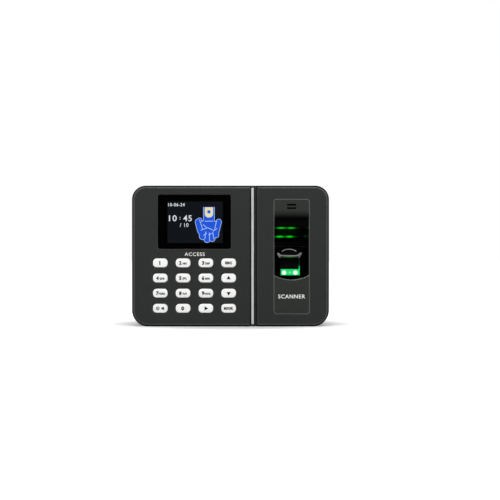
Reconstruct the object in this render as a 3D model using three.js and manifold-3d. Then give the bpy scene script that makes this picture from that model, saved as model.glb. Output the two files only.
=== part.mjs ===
// Fingerprint access terminal: a wall-mounted housing with a colour display, a keypad of
// sixteen keys and an optical finger sensor in a deep recess.
// Millimetres. X points right, Y towards the wall, Z up. The origin is the centre of the base.

import * as THREE from 'three';
import { mergeVertices } from 'three/addons/utils/BufferGeometryUtils.js';
import Module from 'manifold-3d';

const wasm = await Module();
wasm.setup();

// ---------------------------------------------------------------- driving dimensions

const CLEAR = 0.3; // gap between neighbouring pieces
const BODY = { width: 175, height: 125, depth: 36, cornerTop: 12.3, cornerBottom: 14.4 };
const FRONT = { depth: 14.2, wall: 2.2, face: 2.6, bevel: 2.0 };
const REAR = { wall: 2.2, back: 2.2, bevel: 3.0, plateProud: 0.5 };

const PLATE = { width: 139.4, height: 101, thickness: 1.5, corner: 6, fromBottom: 7 };
const PLATE_HOLE = { radius: 2.3, inset: 9 };
const PLATE_WINDOW = { width: 66, height: 33, corner: 3 };
const HOOK = { width: 9, reach: 4.2, lip: 2.4, pitch: 84, fromTop: 12 };
const TAB = { width: 18, reach: 8.5 };

const LENS = { width: 64.5, height: 47.85, corner: 1.8, thickness: 1.3, fromLeft: 55.5, fromTop: 32.2 };
const SIGHT = { width: 52, height: 40, corner: 1, shiftX: 0.7, shiftZ: -0.45 };
const LCD = { width: 60.3, height: 42.7, glass: 1.2, backlight: 1.4, gasket: 0.6 };
const CARRIER = { marginX: 6, marginZ: 1.5, thickness: 1.2, stakeRadius: 1.5, stakeInset: 2.7 };

const KEY = { width: 13, height: 7.9, corner: 3.3, proud: 0.8, edge: 0.45, ring: 0.8 };
const KEYPAD = { columns: 4, rows: 4, pitchX: 20.15, pitchZ: 13.4, fromLeft: 25.4, fromBottom: 16.2 };
const KEY_FLANGE = { overlap: 0.7, thickness: 0.8 };
const KEY_TRAVEL = 0.8;
const MAT = { margin: 8.2, thickness: 1, domeRadius: 2.6, domeHeight: 0.5 };
const BOARD = 1.6; // thickness of every circuit board

const DIVIDER = { width: 6, depth: 2, left: 36.9, floor: 1.6 };
const STRIP = { width: 2.1, fromLeft: 1.3, recess: 0.3, endInset: 2.1 };

const PANEL = { width: 32, height: 102.1, corner: 2.8, thickness: 2.5, fromRight: 33.4, fromTop: 11.9 };
const BEAD = { width: 1.1, height: 0.5 };
const RECESS = { side: 0.6, depth: 18, wall: 1.7, top: 12.6, slope: 28.5, lipEnd: 34.3, lipDip: 4 };
const SCOOP = { steepFrom: 0.5, steepTo: 0.7 }; // stretch of the slope, as shares of its height, that is steepest
const SLOT = { width: 7.8, height: 1.1, fromTop: [5.25, 8.2] };
const GLASS = { width: 17, height: 9.8, proud: 0.9, fromBottom: 39.7 };
const LIGHT = { width: 15.3, height: 5.4, fromBottom: 33.9, edge: 0.7, edgeHeight: 10 };
const STOP = { width: 23.6, waist: 18, height: 4, arch: 4.2, depth: 9, fromBottom: 49.8 };
const MODULE = { width: 27, height: 25, depth: 7.2, wall: 1.5, fromBottom: 30.9, boardHeight: 34 };
const OPTIC = { rim: 4.4, barrel: 3.6, length: 4.8, rimLength: 1.6 };
const LED = { width: 3.5, height: 2.8, depth: 1.2, pitch: 10.2 };
const SPEAKER = { width: 16, height: 9, depth: 3.5 };

const MAIN_BOARD = { width: 112, height: 48.5, fromLeft: 9.5, fromTop: 19.5, setback: 2.7, holeInset: 4.5 };
const BAY = { width: 72, height: 38, floor: 1.8, wall: 1.8, fromBoard: 22 };
const RJ45 = { width: 16, height: 13.3, length: 21.5, mouth: [11.8, 7.2, 13], offset: -27.5 };
const DC_JACK = { width: 9, height: 11, length: 14.2, bore: 3.2, pin: 1, reach: 9.5, offset: -13.5 };
const TERMINALS = { poles: 6, pitch: 3.81, height: 10, length: 12, entry: 1.2, offset: 13 };
const USB = { width: 14.4, height: 7, length: 14, shell: 0.5, tongue: 1.8, fromTop: 34.75 };
const RELAY = { width: 15.4, height: 10.2, length: 19, x: 6, z: 36 };
const COIN = { radius: 10, thickness: 3.2, x: -28, z: 36, holderWall: 1.3, holderFloor: 1 };
const RESET = { radius: 1.75, flange: 2.4, flangeHeight: 0.6, proud: 0.4, travel: 0.25, body: [6, 7, 4], offset: -4.5 };
const TAMPER = { radius: 1.6, collar: 2.6, collarLength: 1.4, travel: 1, body: 6, bodyDepth: 4, x: 32, z: 40 };

const CASE_SCREW = { radius: 1.35, head: 2.7, headHeight: 2.2, length: 12, inset: 9.5, fromBase: 14, seat: 3.2 };
const BOARD_SCREW = { radius: 1.1, head: 2.2, headHeight: 1.5, length: 6 };
const LOCK_SCREW = { radius: 1.35, head: 2.7, headHeight: 1.8, length: 9, seat: 2.4 };
const BOSS_WALL = 1.8;
const SCREW_SLOT = { width: 0.7, depth: 0.6 };

// ---------------------------------------------------------------- places that follow from them

const LEFT = -BODY.width / 2;
const RIGHT = BODY.width / 2;
const TOP = BODY.height;
const FACE_Y = -BODY.depth / 2 + KEY.proud;
const INNER_FACE_Y = FACE_Y + FRONT.face;
const PARTING_Y = FACE_Y + FRONT.depth;
const REAR_START_Y = PARTING_Y + CLEAR;
const PLATE_REAR_Y = BODY.depth / 2;
const PLATE_FRONT_Y = PLATE_REAR_Y - PLATE.thickness;
const RIM_Y = PLATE_REAR_Y - REAR.plateProud;
const BACK_Y = PLATE_FRONT_Y - CLEAR;
const INNER_BACK_Y = BACK_Y - REAR.back;

const LENS_X = LEFT + LENS.fromLeft;
const LENS_Z = TOP - LENS.fromTop;
const SIGHT_X = LENS_X + SIGHT.shiftX;
const SIGHT_Z = LENS_Z + SIGHT.shiftZ;
const PANEL_X = RIGHT - PANEL.fromRight;
const PANEL_TOP = TOP - PANEL.fromTop;
const PANEL_BOTTOM = PANEL_TOP - PANEL.height;
const PANEL_Z = (PANEL_TOP + PANEL_BOTTOM) / 2;
const RECESS_TOP_Z = PANEL_TOP - RECESS.top;
const RECESS_FLOOR_Y = FACE_Y + RECESS.depth;
const DIVIDER_X = PANEL_X - DIVIDER.left;
const PLATE_Z = PLATE.fromBottom + PLATE.height / 2;

const KEY_BACK_Y = INNER_FACE_Y + CLEAR + KEY_FLANGE.thickness;
const MAT_Y = KEY_BACK_Y + KEY_TRAVEL + 0.1 + MAT.domeHeight;
const KEY_BOARD_Y = MAT_Y + MAT.thickness + CLEAR;

const MAIN_BACK_Y = REAR_START_Y + MAIN_BOARD.setback; // rear face of the main board
const MAIN_FRONT_Y = MAIN_BACK_Y - BOARD;
const MAIN_LEFT = LEFT + MAIN_BOARD.fromLeft;
const MAIN_BOTTOM = TOP - MAIN_BOARD.fromTop - MAIN_BOARD.height;
const PART_Y = MAIN_BACK_Y + CLEAR; // where components on the main board begin
const MAIN_X = MAIN_LEFT + MAIN_BOARD.width / 2;
const BAY_X = MAIN_X + BAY.fromBoard;
const BAY_TOP_Z = MAIN_BOTTOM + 1;
const BAY_FLOOR_Y = PART_Y + BAY.floor + CLEAR;
const CONNECTOR_Z = BAY_TOP_Z + CLEAR;

// ---------------------------------------------------------------- solid helpers

/** Turns a closed three.js geometry into a manifold solid. */
function solid(geometry) {
  geometry.deleteAttribute('normal');
  geometry.deleteAttribute('uv');
  const merged = mergeVertices(geometry, 1e-4);
  const vertProperties = Float32Array.from(merged.attributes.position.array);
  const triVerts = Uint32Array.from(merged.index.array);
  return new wasm.Manifold(new wasm.Mesh({ numProp: 3, vertProperties, triVerts }));
}

/** Turns a manifold solid back into a three.js geometry. */
function geometryOf(body) {
  const { vertProperties, triVerts } = body.getMesh();
  const geometry = new THREE.BufferGeometry();
  geometry.setAttribute('position', new THREE.BufferAttribute(vertProperties, 3));
  geometry.setIndex(new THREE.BufferAttribute(triVerts, 1));
  geometry.computeVertexNormals();
  return geometry;
}

/** Joins a list of solids into one. */
function join(bodies) {
  return bodies.reduce((whole, body) => whole.add(body));
}

/** Cuts every solid of a list out of a body. */
function cut(body, tools) {
  return tools.reduce((rest, tool) => rest.subtract(tool), body);
}

/** Rectangular block between two opposite corners. */
function block([x0, y0, z0], [x1, y1, z1]) {
  const geometry = new THREE.BoxGeometry(x1 - x0, y1 - y0, z1 - z0);
  geometry.translate((x0 + x1) / 2, (y0 + y1) / 2, (z0 + z1) / 2);
  return solid(geometry);
}

/** Round rod along the Y axis. */
function rodY(x, z, radius, y0, y1, segments = 16) {
  const geometry = new THREE.CylinderGeometry(radius, radius, y1 - y0, segments);
  geometry.translate(x, (y0 + y1) / 2, z);
  return solid(geometry);
}

/** Round rod along the Z axis. */
function rodZ(x, y, radius, z0, z1, segments = 16) {
  const geometry = new THREE.CylinderGeometry(radius, radius, z1 - z0, segments);
  geometry.rotateX(Math.PI / 2);
  geometry.translate(x, y, (z0 + z1) / 2);
  return solid(geometry);
}

/** Rectangle with round corners in the XZ plane; the lower pair may have its own radius. */
function roundedRect(x, z, width, height, corner, lowerCorner = corner) {
  const [x0, x1] = [x - width / 2, x + width / 2];
  const [z0, z1] = [z - height / 2, z + height / 2];
  const quarter = Math.PI / 2;
  const shape = new THREE.Shape();
  shape.moveTo(x0 + lowerCorner, z0);
  shape.absarc(x1 - lowerCorner, z0 + lowerCorner, lowerCorner, -quarter, 0);
  shape.absarc(x1 - corner, z1 - corner, corner, 0, quarter);
  shape.absarc(x0 + corner, z1 - corner, corner, quarter, 2 * quarter);
  shape.absarc(x0 + lowerCorner, z0 + lowerCorner, lowerCorner, 2 * quarter, 3 * quarter);
  shape.closePath();
  return shape;
}

/** Outline of the whole terminal, drawn in by a distance. */
function bodyOutline(inset = 0) {
  const corner = Math.max(BODY.cornerTop - inset, 1);
  const lowerCorner = Math.max(BODY.cornerBottom - inset, 1);
  return roundedRect(0, TOP / 2, BODY.width - 2 * inset, BODY.height - 2 * inset, corner, lowerCorner);
}

/** Slab whose outline lies in the XZ plane, from y0 back to y1, with both rims rounded by a bevel. */
function slab(shape, y0, y1, { bevel = 0, segments = 3, bevelSegments = 3 } = {}) {
  const geometry = new THREE.ExtrudeGeometry(shape, {
    depth: y1 - y0 - 2 * bevel,
    curveSegments: segments,
    bevelEnabled: bevel > 0,
    bevelThickness: bevel,
    bevelSize: bevel,
    bevelOffset: -bevel,
    bevelSegments,
  });
  geometry.translate(0, 0, bevel);
  geometry.rotateX(Math.PI / 2);
  geometry.translate(0, y1, 0);
  return solid(geometry);
}

/** Prism whose outline is a list of [y, z] points, from x0 across to x1. */
function prismX(points, x0, x1) {
  const shape = new THREE.Shape(points.map(([y, z]) => new THREE.Vector2(y, z)));
  const geometry = new THREE.ExtrudeGeometry(shape, { depth: x1 - x0, bevelEnabled: false });
  const toYZ = new THREE.Matrix4().set(0, 0, 1, x0, 1, 0, 0, 0, 0, 1, 0, 0, 0, 0, 0, 1);
  geometry.applyMatrix4(toYZ);
  return solid(geometry);
}

/** Pan-head screw with a cross slot, pointing along -Y, its head's inner face at the origin. */
function screwSolid({ radius, head, headHeight, length }) {
  const body = join([rodY(0, 0, head, 0, headHeight), rodY(0, 0, radius, -length, 0.2, 12)]);
  const reach = head + 1;
  const halfSlot = SCREW_SLOT.width / 2;
  const floor = headHeight - SCREW_SLOT.depth;
  return cut(body, [
    block([-reach, floor, -halfSlot], [reach, headHeight + 1, halfSlot]),
    block([-halfSlot, floor, -reach], [halfSlot, headHeight + 1, reach]),
  ]);
}

// ---------------------------------------------------------------- materials and assembly

const FINISH = {
  paint: { color: 0x3b3d3c, roughness: 0.55, metalness: 0.25 },
  rearPlastic: { color: 0x222322, roughness: 0.7, metalness: 0 },
  gloss: { color: 0x060606, roughness: 0.08, metalness: 0 },
  satin: { color: 0xc8cccd, roughness: 0.35, metalness: 1 },
  key: { color: 0xe9e9e6, roughness: 0.5, metalness: 0 },
  silicone: { color: 0x9a9c9a, roughness: 0.9, metalness: 0 },
  board: { color: 0x1f5a35, roughness: 0.6, metalness: 0 },
  steel: { color: 0xa9adb0, roughness: 0.4, metalness: 1 },
  light: { color: 0x20e070, roughness: 0.3, metalness: 0 },
  flex: { color: 0xb87a28, roughness: 0.5, metalness: 0 },
  terminal: { color: 0x2f8a4b, roughness: 0.6, metalness: 0 },
  foam: { color: 0x151515, roughness: 1, metalness: 0 },
};

/** Adds one named mesh to a group, at a place if one is given. */
function addPart(group, name, body, finish, place = [0, 0, 0]) {
  const mesh = new THREE.Mesh(geometryOf(body), new THREE.MeshStandardMaterial(FINISH[finish]));
  mesh.name = name;
  mesh.position.set(...place);
  group.add(mesh);
  return mesh;
}

/** Centres of the keys, row by row from the top left. */
function keyPlaces() {
  const places = [];
  for (let row = 0; row < KEYPAD.rows; row += 1) {
    for (let column = 0; column < KEYPAD.columns; column += 1) {
      const x = LEFT + KEYPAD.fromLeft + column * KEYPAD.pitchX;
      const z = KEYPAD.fromBottom + (KEYPAD.rows - 1 - row) * KEYPAD.pitchZ;
      places.push([x, z]);
    }
  }
  return places;
}

/** Centres of the four screws that close the housing. */
function caseScrewPlaces() {
  const [x0, x1] = [LEFT + CASE_SCREW.inset, RIGHT - CASE_SCREW.inset];
  const [z0, z1] = [CASE_SCREW.fromBase, TOP - CASE_SCREW.fromBase];
  return [[x0, z0], [x1, z0], [x0, z1], [x1, z1]];
}

/** Centres of the four posts that carry the main board. */
function boardScrewPlaces() {
  const inset = MAIN_BOARD.holeInset;
  const [x0, x1] = [MAIN_LEFT + inset, MAIN_LEFT + MAIN_BOARD.width - inset];
  const [z0, z1] = [MAIN_BOTTOM + inset, MAIN_BOTTOM + MAIN_BOARD.height - inset];
  return [[x0, z0], [x1, z0], [x0, z1], [x1, z1]];
}

/** Two opposite posts take a screw, the other two have a locating pin. */
function boardScrewSites() {
  return boardScrewPlaces().filter((_, index) => index === 0 || index === 3);
}

function boardPinPlaces() {
  return boardScrewPlaces().filter((_, index) => index === 1 || index === 2);
}

/** Pins of the front housing that carry the keypad board and the display carrier. */
function keyBoardPins() {
  const x0 = LEFT + KEYPAD.fromLeft + KEYPAD.pitchX / 2;
  const x1 = x0 + (KEYPAD.columns - 2) * KEYPAD.pitchX;
  const z0 = KEYPAD.fromBottom + KEYPAD.pitchZ / 2;
  const z1 = z0 + (KEYPAD.rows - 2) * KEYPAD.pitchZ;
  return [[x0, z0], [x1, z0], [x0, z1], [x1, z1]];
}

function carrierPins() {
  const half = LCD.width / 2 + CARRIER.marginX - CARRIER.stakeInset;
  const rise = LCD.height / 2 + CARRIER.marginZ - CARRIER.stakeInset;
  return [[-half, -rise], [half, -rise], [-half, rise], [half, rise]].map(([x, z]) => [SIGHT_X + x, SIGHT_Z + z]);
}

// Depths of the display stack, from the lens back to its carrier.
const LENS_SEAT_Y = FACE_Y + LENS.thickness + 2 * CLEAR - 0.1;
const GASKET_Y = INNER_FACE_Y + CLEAR;
const LCD_Y = GASKET_Y + LCD.gasket + CLEAR;
const BACKLIGHT_Y = LCD_Y + LCD.glass + CLEAR;
const CARRIER_Y = BACKLIGHT_Y + LCD.backlight + CLEAR;
const STAKE_END_Y = CARRIER_Y + CARRIER.thickness + 1;
const KEY_PIN_END_Y = KEY_BOARD_Y + BOARD + 1;
const KEY_PIN_RADIUS = 1.2;

// ---------------------------------------------------------------- housing

/** Front housing: painted face with openings for lens, keys, divider strip and sensor panel. */
function frontHousing() {
  const full = slab(bodyOutline(), FACE_Y, PARTING_Y + FRONT.bevel + 1, { bevel: FRONT.bevel, segments: 5 });
  const shell = full.intersect(block([LEFT - 1, FACE_Y - 1, -1], [RIGHT + 1, PARTING_Y, TOP + 1]));
  const cavity = slab(bodyOutline(FRONT.wall), INNER_FACE_Y, PARTING_Y + 1, { segments: 5 });
  const bossRadius = CASE_SCREW.radius + CLEAR + BOSS_WALL;
  const bosses = caseScrewPlaces().map(([x, z]) => rodY(x, z, bossRadius, INNER_FACE_Y - 0.5, PARTING_Y));
  const stakes = carrierPins().map(([x, z]) => rodY(x, z, CARRIER.stakeRadius, INNER_FACE_Y - 0.5, STAKE_END_Y, 10));
  const keyPins = keyBoardPins().map(([x, z]) => rodY(x, z, KEY_PIN_RADIUS, INNER_FACE_Y - 0.5, KEY_PIN_END_Y, 10));
  const rib = block(
    [DIVIDER_X - FRONT.wall, INNER_FACE_Y - 0.5, FRONT.wall],
    [DIVIDER_X + DIVIDER.width + FRONT.wall, FACE_Y + DIVIDER.depth + DIVIDER.floor, TOP - FRONT.wall],
  );
  const beadMargin = 2 * (CLEAR + BEAD.width);
  const bead = slab(
    roundedRect(PANEL_X, PANEL_Z, PANEL.width + beadMargin, PANEL.height + beadMargin, PANEL.corner + beadMargin / 2),
    FACE_Y - BEAD.height,
    INNER_FACE_Y - 0.5,
    { segments: 3 },
  );
  const body = join([shell.subtract(cavity), rib, bead, ...bosses, ...stakes, ...keyPins]);

  const lensPocket = slab(
    roundedRect(LENS_X, LENS_Z, LENS.width + 2 * CLEAR, LENS.height + 2 * CLEAR, LENS.corner + CLEAR),
    FACE_Y - 1,
    LENS_SEAT_Y,
    { segments: 2 },
  );
  const sight = slab(
    roundedRect(SIGHT_X, SIGHT_Z, SIGHT.width, SIGHT.height, SIGHT.corner),
    FACE_Y,
    INNER_FACE_Y + 1,
    { segments: 1 },
  );
  const keyHole = slab(
    roundedRect(0, 0, KEY.width + 2 * KEY.ring, KEY.height + 2 * KEY.ring, KEY.corner + KEY.ring),
    FACE_Y - 1,
    INNER_FACE_Y + 1,
    { segments: 2 },
  );
  const keyHoles = keyPlaces().map(([x, z]) => keyHole.translate([x, 0, z]));
  const channel = block(
    [DIVIDER_X, FACE_Y - 1, -1],
    [DIVIDER_X + DIVIDER.width, FACE_Y + DIVIDER.depth, TOP + 1],
  );
  const panelHole = slab(
    roundedRect(PANEL_X, PANEL_Z, PANEL.width + 2 * CLEAR, PANEL.height + 2 * CLEAR, PANEL.corner + CLEAR),
    FACE_Y - 1,
    INNER_FACE_Y + 1,
    { segments: 3 },
  );
  const pilot = CASE_SCREW.radius + CLEAR;
  const screwHoles = caseScrewPlaces().map(([x, z]) => rodY(x, z, pilot, INNER_FACE_Y + 0.5, PARTING_Y + 1, 12));
  return cut(body, [lensPocket, sight, ...keyHoles, channel, panelHole, ...screwHoles]);
}

/** Rear housing: back shell with the bracket recess, the cable bay and the screw columns. */
function rearHousing() {
  const full = slab(bodyOutline(), REAR_START_Y - REAR.bevel - 1, RIM_Y, { bevel: REAR.bevel, segments: 5 });
  const shell = full.intersect(block([LEFT - 1, REAR_START_Y, -1], [RIGHT + 1, RIM_Y + 1, TOP + 1]));
  const cavity = slab(bodyOutline(REAR.wall), REAR_START_Y - 1, INNER_BACK_Y, { segments: 5 });
  const columnRadius = CASE_SCREW.head + CLEAR + BOSS_WALL;
  const seatY = REAR_START_Y + CASE_SCREW.seat;
  const columns = caseScrewPlaces().map(([x, z]) => rodY(x, z, columnRadius, REAR_START_Y, INNER_BACK_Y + 0.5));
  const postRadius = BOARD_SCREW.radius + CLEAR + BOSS_WALL;
  const posts = boardScrewPlaces().map(([x, z]) => rodY(x, z, postRadius, PART_Y, INNER_BACK_Y + 0.5));
  const pins = boardPinPlaces().map(([x, z]) => rodY(x, z, BOARD_SCREW.radius, MAIN_FRONT_Y - 1, PART_Y + 1, 10));
  const halfBay = BAY.width / 2;
  const bayBottom = BAY_TOP_Z - BAY.height;
  const bayBox = block(
    [BAY_X - halfBay - BAY.wall, BAY_FLOOR_Y - BAY.floor, bayBottom - BAY.wall],
    [BAY_X + halfBay + BAY.wall, INNER_BACK_Y + 0.5, BAY_TOP_Z + BAY.wall],
  );
  const tabZ = PLATE.fromBottom;
  const pocketHalf = TAB.width / 2 + 2 * CLEAR;
  const pocketFront = PLATE_FRONT_Y - TAB.reach - 2 * CLEAR;
  const pocketTop = LOCK_SCREW.seat + CLEAR + LOCK_SCREW.length + 2 * CLEAR;
  const pocketBox = block(
    [-pocketHalf - BAY.wall, pocketFront - BAY.wall, 1],
    [pocketHalf + BAY.wall, INNER_BACK_Y + 0.5, pocketTop + BAY.wall],
  );
  const body = join([shell.subtract(cavity), bayBox, pocketBox, ...columns, ...posts, ...pins]);

  const plateMargin = 4 * CLEAR;
  const recess = slab(
    roundedRect(0, PLATE_Z, PLATE.width + plateMargin, PLATE.height + plateMargin, PLATE.corner + plateMargin / 2),
    BACK_Y,
    RIM_Y + 1,
    { segments: 3 },
  );
  const bay = block([BAY_X - halfBay, BAY_FLOOR_Y, bayBottom], [BAY_X + halfBay, RIM_Y + 1, BAY_TOP_Z]);
  const pocket = block(
    [-pocketHalf, pocketFront, tabZ - 3 * CLEAR],
    [pocketHalf, RIM_Y + 1, pocketTop],
  );
  const lockY = PLATE_FRONT_Y - TAB.reach / 2;
  const lockHoles = [
    rodZ(0, lockY, LOCK_SCREW.head + CLEAR, -1, LOCK_SCREW.seat),
    rodZ(0, lockY, LOCK_SCREW.radius + CLEAR, 0, tabZ, 12),
  ];
  const counterbores = caseScrewPlaces().map(([x, z]) => rodY(x, z, CASE_SCREW.head + CLEAR, seatY, RIM_Y + 1));
  const shankHoles = caseScrewPlaces().map(([x, z]) => (
    rodY(x, z, CASE_SCREW.radius + CLEAR, REAR_START_Y - 1, RIM_Y, 12)
  ));
  const postHoles = boardScrewSites().map(([x, z]) => (
    rodY(x, z, BOARD_SCREW.radius + CLEAR, PART_Y - 1, INNER_BACK_Y - 1, 12)
  ));
  const hookSlots = [-1, 1].map((side) => block(
    [side * HOOK.pitch / 2 - HOOK.width / 2 - CLEAR, INNER_BACK_Y - 1, hookZ() - HOOK.lip - 2 * CLEAR],
    [side * HOOK.pitch / 2 + HOOK.width / 2 + CLEAR, RIM_Y, hookZ() + PLATE.thickness + CLEAR],
  ));
  return cut(body, [
    recess, bay, pocket, ...lockHoles, ...counterbores, ...shankHoles, ...postHoles, ...hookSlots,
    ...connectorCutouts(), usbCutout(), tamperHole(), resetHole(),
  ]);
}

/** Height of the underside of the bracket hooks. */
function hookZ() {
  return PLATE.fromBottom + PLATE.height - HOOK.fromTop;
}

/** Cutouts in the top wall of the cable bay for the three connectors. */
function connectorCutouts() {
  const sizes = [
    [RJ45.offset, RJ45.width, RJ45.height],
    [DC_JACK.offset, DC_JACK.width, DC_JACK.height],
    [TERMINALS.offset, TERMINALS.poles * TERMINALS.pitch, TERMINALS.height],
  ];
  return sizes.map(([x, width, height]) => block(
    [BAY_X + x - width / 2 - CLEAR, PART_Y - CLEAR, BAY_TOP_Z - 0.5],
    [BAY_X + x + width / 2 + CLEAR, PART_Y + height + CLEAR, BAY_TOP_Z + BAY.wall + 1],
  ));
}

function usbCutout() {
  const z = TOP - USB.fromTop;
  const half = USB.width / 2 + CLEAR;
  return block([LEFT - 1, PART_Y - CLEAR, z - half], [LEFT + REAR.wall + 1, PART_Y + USB.height + CLEAR, z + half]);
}

function tamperHole() {
  const [x, z] = [MAIN_X + TAMPER.x, MAIN_BOTTOM + TAMPER.z];
  return rodY(x, z, TAMPER.radius + CLEAR, INNER_BACK_Y - 1, RIM_Y);
}

function resetHole() {
  return rodZ(BAY_X + RESET.offset, resetY(), RESET.radius + CLEAR, BAY_TOP_Z - 1, BAY_TOP_Z + BAY.wall + 1);
}

function resetY() {
  return BAY_FLOOR_Y + RESET.flange + 2 * CLEAR;
}

// ---------------------------------------------------------------- display

function addDisplay(group) {
  const lensY = LENS_SEAT_Y - CLEAR - LENS.thickness;
  const lens = slab(
    roundedRect(LENS_X, LENS_Z, LENS.width, LENS.height, LENS.corner),
    lensY,
    lensY + LENS.thickness,
    { bevel: 0.25, segments: 2, bevelSegments: 1 },
  );
  addPart(group, 'display_lens', lens, 'gloss');

  const lcdBlock = (y, thickness) => {
    const [halfX, halfZ] = [LCD.width / 2, LCD.height / 2];
    return block([SIGHT_X - halfX, y, SIGHT_Z - halfZ], [SIGHT_X + halfX, y + thickness, SIGHT_Z + halfZ]);
  };
  const window = slab(roundedRect(SIGHT_X, SIGHT_Z, SIGHT.width, SIGHT.height, SIGHT.corner), GASKET_Y - 1, LCD_Y, {
    segments: 1,
  });
  addPart(group, 'display_gasket', lcdBlock(GASKET_Y, LCD.gasket).subtract(window), 'foam');
  addPart(group, 'lcd_panel', lcdBlock(LCD_Y, LCD.glass), 'gloss');
  addPart(group, 'lcd_backlight', lcdBlock(BACKLIGHT_Y, LCD.backlight), 'steel');

  const carrierWidth = LCD.width + 2 * CARRIER.marginX;
  const carrierHeight = LCD.height + 2 * CARRIER.marginZ;
  const carrierBack = CARRIER_Y + CARRIER.thickness;
  const frame = slab(roundedRect(SIGHT_X, SIGHT_Z, carrierWidth, carrierHeight, 2), CARRIER_Y, carrierBack, {
    segments: 1,
  });
  const stakeHoles = carrierPins().map(([x, z]) => (
    rodY(x, z, CARRIER.stakeRadius + CLEAR, CARRIER_Y - 1, carrierBack + 1, 10)
  ));
  addPart(group, 'lcd_carrier', cut(frame, stakeHoles), 'rearPlastic');
}

// ---------------------------------------------------------------- keypad

/** One key cap: rounded button with a retaining flange behind the face. */
function keyCap() {
  const front = FACE_Y - KEY.proud;
  const cap = slab(roundedRect(0, 0, KEY.width, KEY.height, KEY.corner), front, KEY_BACK_Y, {
    bevel: KEY.edge,
    segments: 2,
    bevelSegments: 1,
  });
  const grow = 2 * (KEY.ring + KEY_FLANGE.overlap);
  const flange = slab(
    roundedRect(0, 0, KEY.width + grow, KEY.height + grow, KEY.corner + grow / 2),
    KEY_BACK_Y - KEY_FLANGE.thickness,
    KEY_BACK_Y,
    { segments: 2 },
  );
  return cap.add(flange);
}

const KEY_NAMES = [
  'key_1', 'key_2', 'key_3', 'key_escape',
  'key_4', 'key_5', 'key_6', 'key_up',
  'key_7', 'key_8', 'key_9', 'key_down',
  'key_left', 'key_0', 'key_right', 'key_menu',
];

function addKeypad(group) {
  const places = keyPlaces();
  places.forEach(([x, z], index) => addPart(group, KEY_NAMES[index], keyCap(), 'key', [x, 0, z]));

  const [x0, z0] = [places[0][0] - MAT.margin, places.at(-1)[1] - MAT.margin];
  const [x1, z1] = [places.at(-1)[0] + MAT.margin, places[0][1] + MAT.margin];
  const sheet = block([x0, MAT_Y, z0], [x1, MAT_Y + MAT.thickness, z1]);
  const domes = places.map(([x, z]) => rodY(x, z, MAT.domeRadius, MAT_Y - MAT.domeHeight, MAT_Y + 0.5, 8));
  const board = block([x0, KEY_BOARD_Y, z0], [x1, KEY_BOARD_Y + BOARD, z1]);
  const pinHoles = keyBoardPins().map(([x, z]) => rodY(x, z, KEY_PIN_RADIUS + CLEAR, MAT_Y - 1, KEY_PIN_END_Y, 10));
  addPart(group, 'keypad_mat', cut(join([sheet, ...domes]), pinHoles), 'silicone');
  addPart(group, 'keypad_board', cut(board, pinHoles), 'board');
}

// ---------------------------------------------------------------- divider and sensor unit

function addDivider(group) {
  const x = DIVIDER_X + STRIP.fromLeft;
  const front = FACE_Y + STRIP.recess;
  const strip = block(
    [x, front, STRIP.endInset],
    [x + STRIP.width, FACE_Y + DIVIDER.depth - CLEAR, TOP - STRIP.endInset],
  );
  addPart(group, 'divider_strip', strip, 'satin');
}

/** Smooth step from 0 to 1. */
function ease(u) {
  return u * u * (3 - 2 * u);
}

/** Steepness of the scoop at a share t of its height: a slow start, a steep stretch, a quick end. */
function steepness(t) {
  if (t < SCOOP.steepFrom) return ease(t / SCOOP.steepFrom) ** 3;
  if (t > SCOOP.steepTo) return ease((1 - t) / (1 - SCOOP.steepTo));
  return 1;
}

/** Share of the full depth reached at each of a number of steps down the scoop. */
function scoopDepths(steps) {
  const fine = 20;
  const sums = [0];
  for (let index = 0; index < steps * fine; index += 1) {
    sums.push(sums.at(-1) + steepness((index + 0.5) / (steps * fine)));
  }
  return Array.from({ length: steps + 1 }, (_, step) => sums[step * fine] / sums.at(-1));
}

/**
 * Space of the finger recess. Seen from the side its upper wall follows the scoop from the
 * face to the floor; seen from the front its lower edge is a shallow arc.
 */
function recessSpace(sideGrow, grow) {
  const half = PANEL.width / 2 - RECESS.side + sideGrow;
  const top = RECESS_TOP_Z + grow;
  const endZ = PANEL_BOTTOM + RECESS.lipEnd - grow;
  const radius = (half ** 2 + RECESS.lipDip ** 2) / (2 * RECESS.lipDip);
  const swing = Math.asin(half / radius);
  const outline = new THREE.Shape();
  outline.moveTo(PANEL_X + half, top);
  outline.lineTo(PANEL_X - half, top);
  const centreZ = endZ - RECESS.lipDip + radius;
  outline.absarc(PANEL_X, centreZ, radius, -Math.PI / 2 - swing, -Math.PI / 2 + swing);
  outline.closePath();
  const floor = RECESS_FLOOR_Y + grow;
  const depths = scoopDepths(12);
  const wave = depths.map((share, step) => [
    floor + RECESS.depth * (share - 1),
    top - RECESS.slope * (step / (depths.length - 1)),
  ]);
  const side = [[FACE_Y - 1, 0], [FACE_Y - 1, top], ...wave, [floor, 0]];
  return slab(outline, FACE_Y - 1, floor + 1, { segments: 6 }).intersect(prismX(side, PANEL_X - half, PANEL_X + half));
}

/** Opening in the recess floor through which glass and light guide reach forward. */
function sensorWindow() {
  const half = GLASS.width / 2 + 2 * CLEAR + LIGHT.edge;
  const bottom = PANEL_BOTTOM + LIGHT.fromBottom - CLEAR;
  const top = PANEL_BOTTOM + GLASS.fromBottom + GLASS.height + CLEAR;
  return block([PANEL_X - half, RECESS_FLOOR_Y - 1, bottom], [PANEL_X + half, RECESS_FLOOR_Y + RECESS.wall + 1, top]);
}

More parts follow.
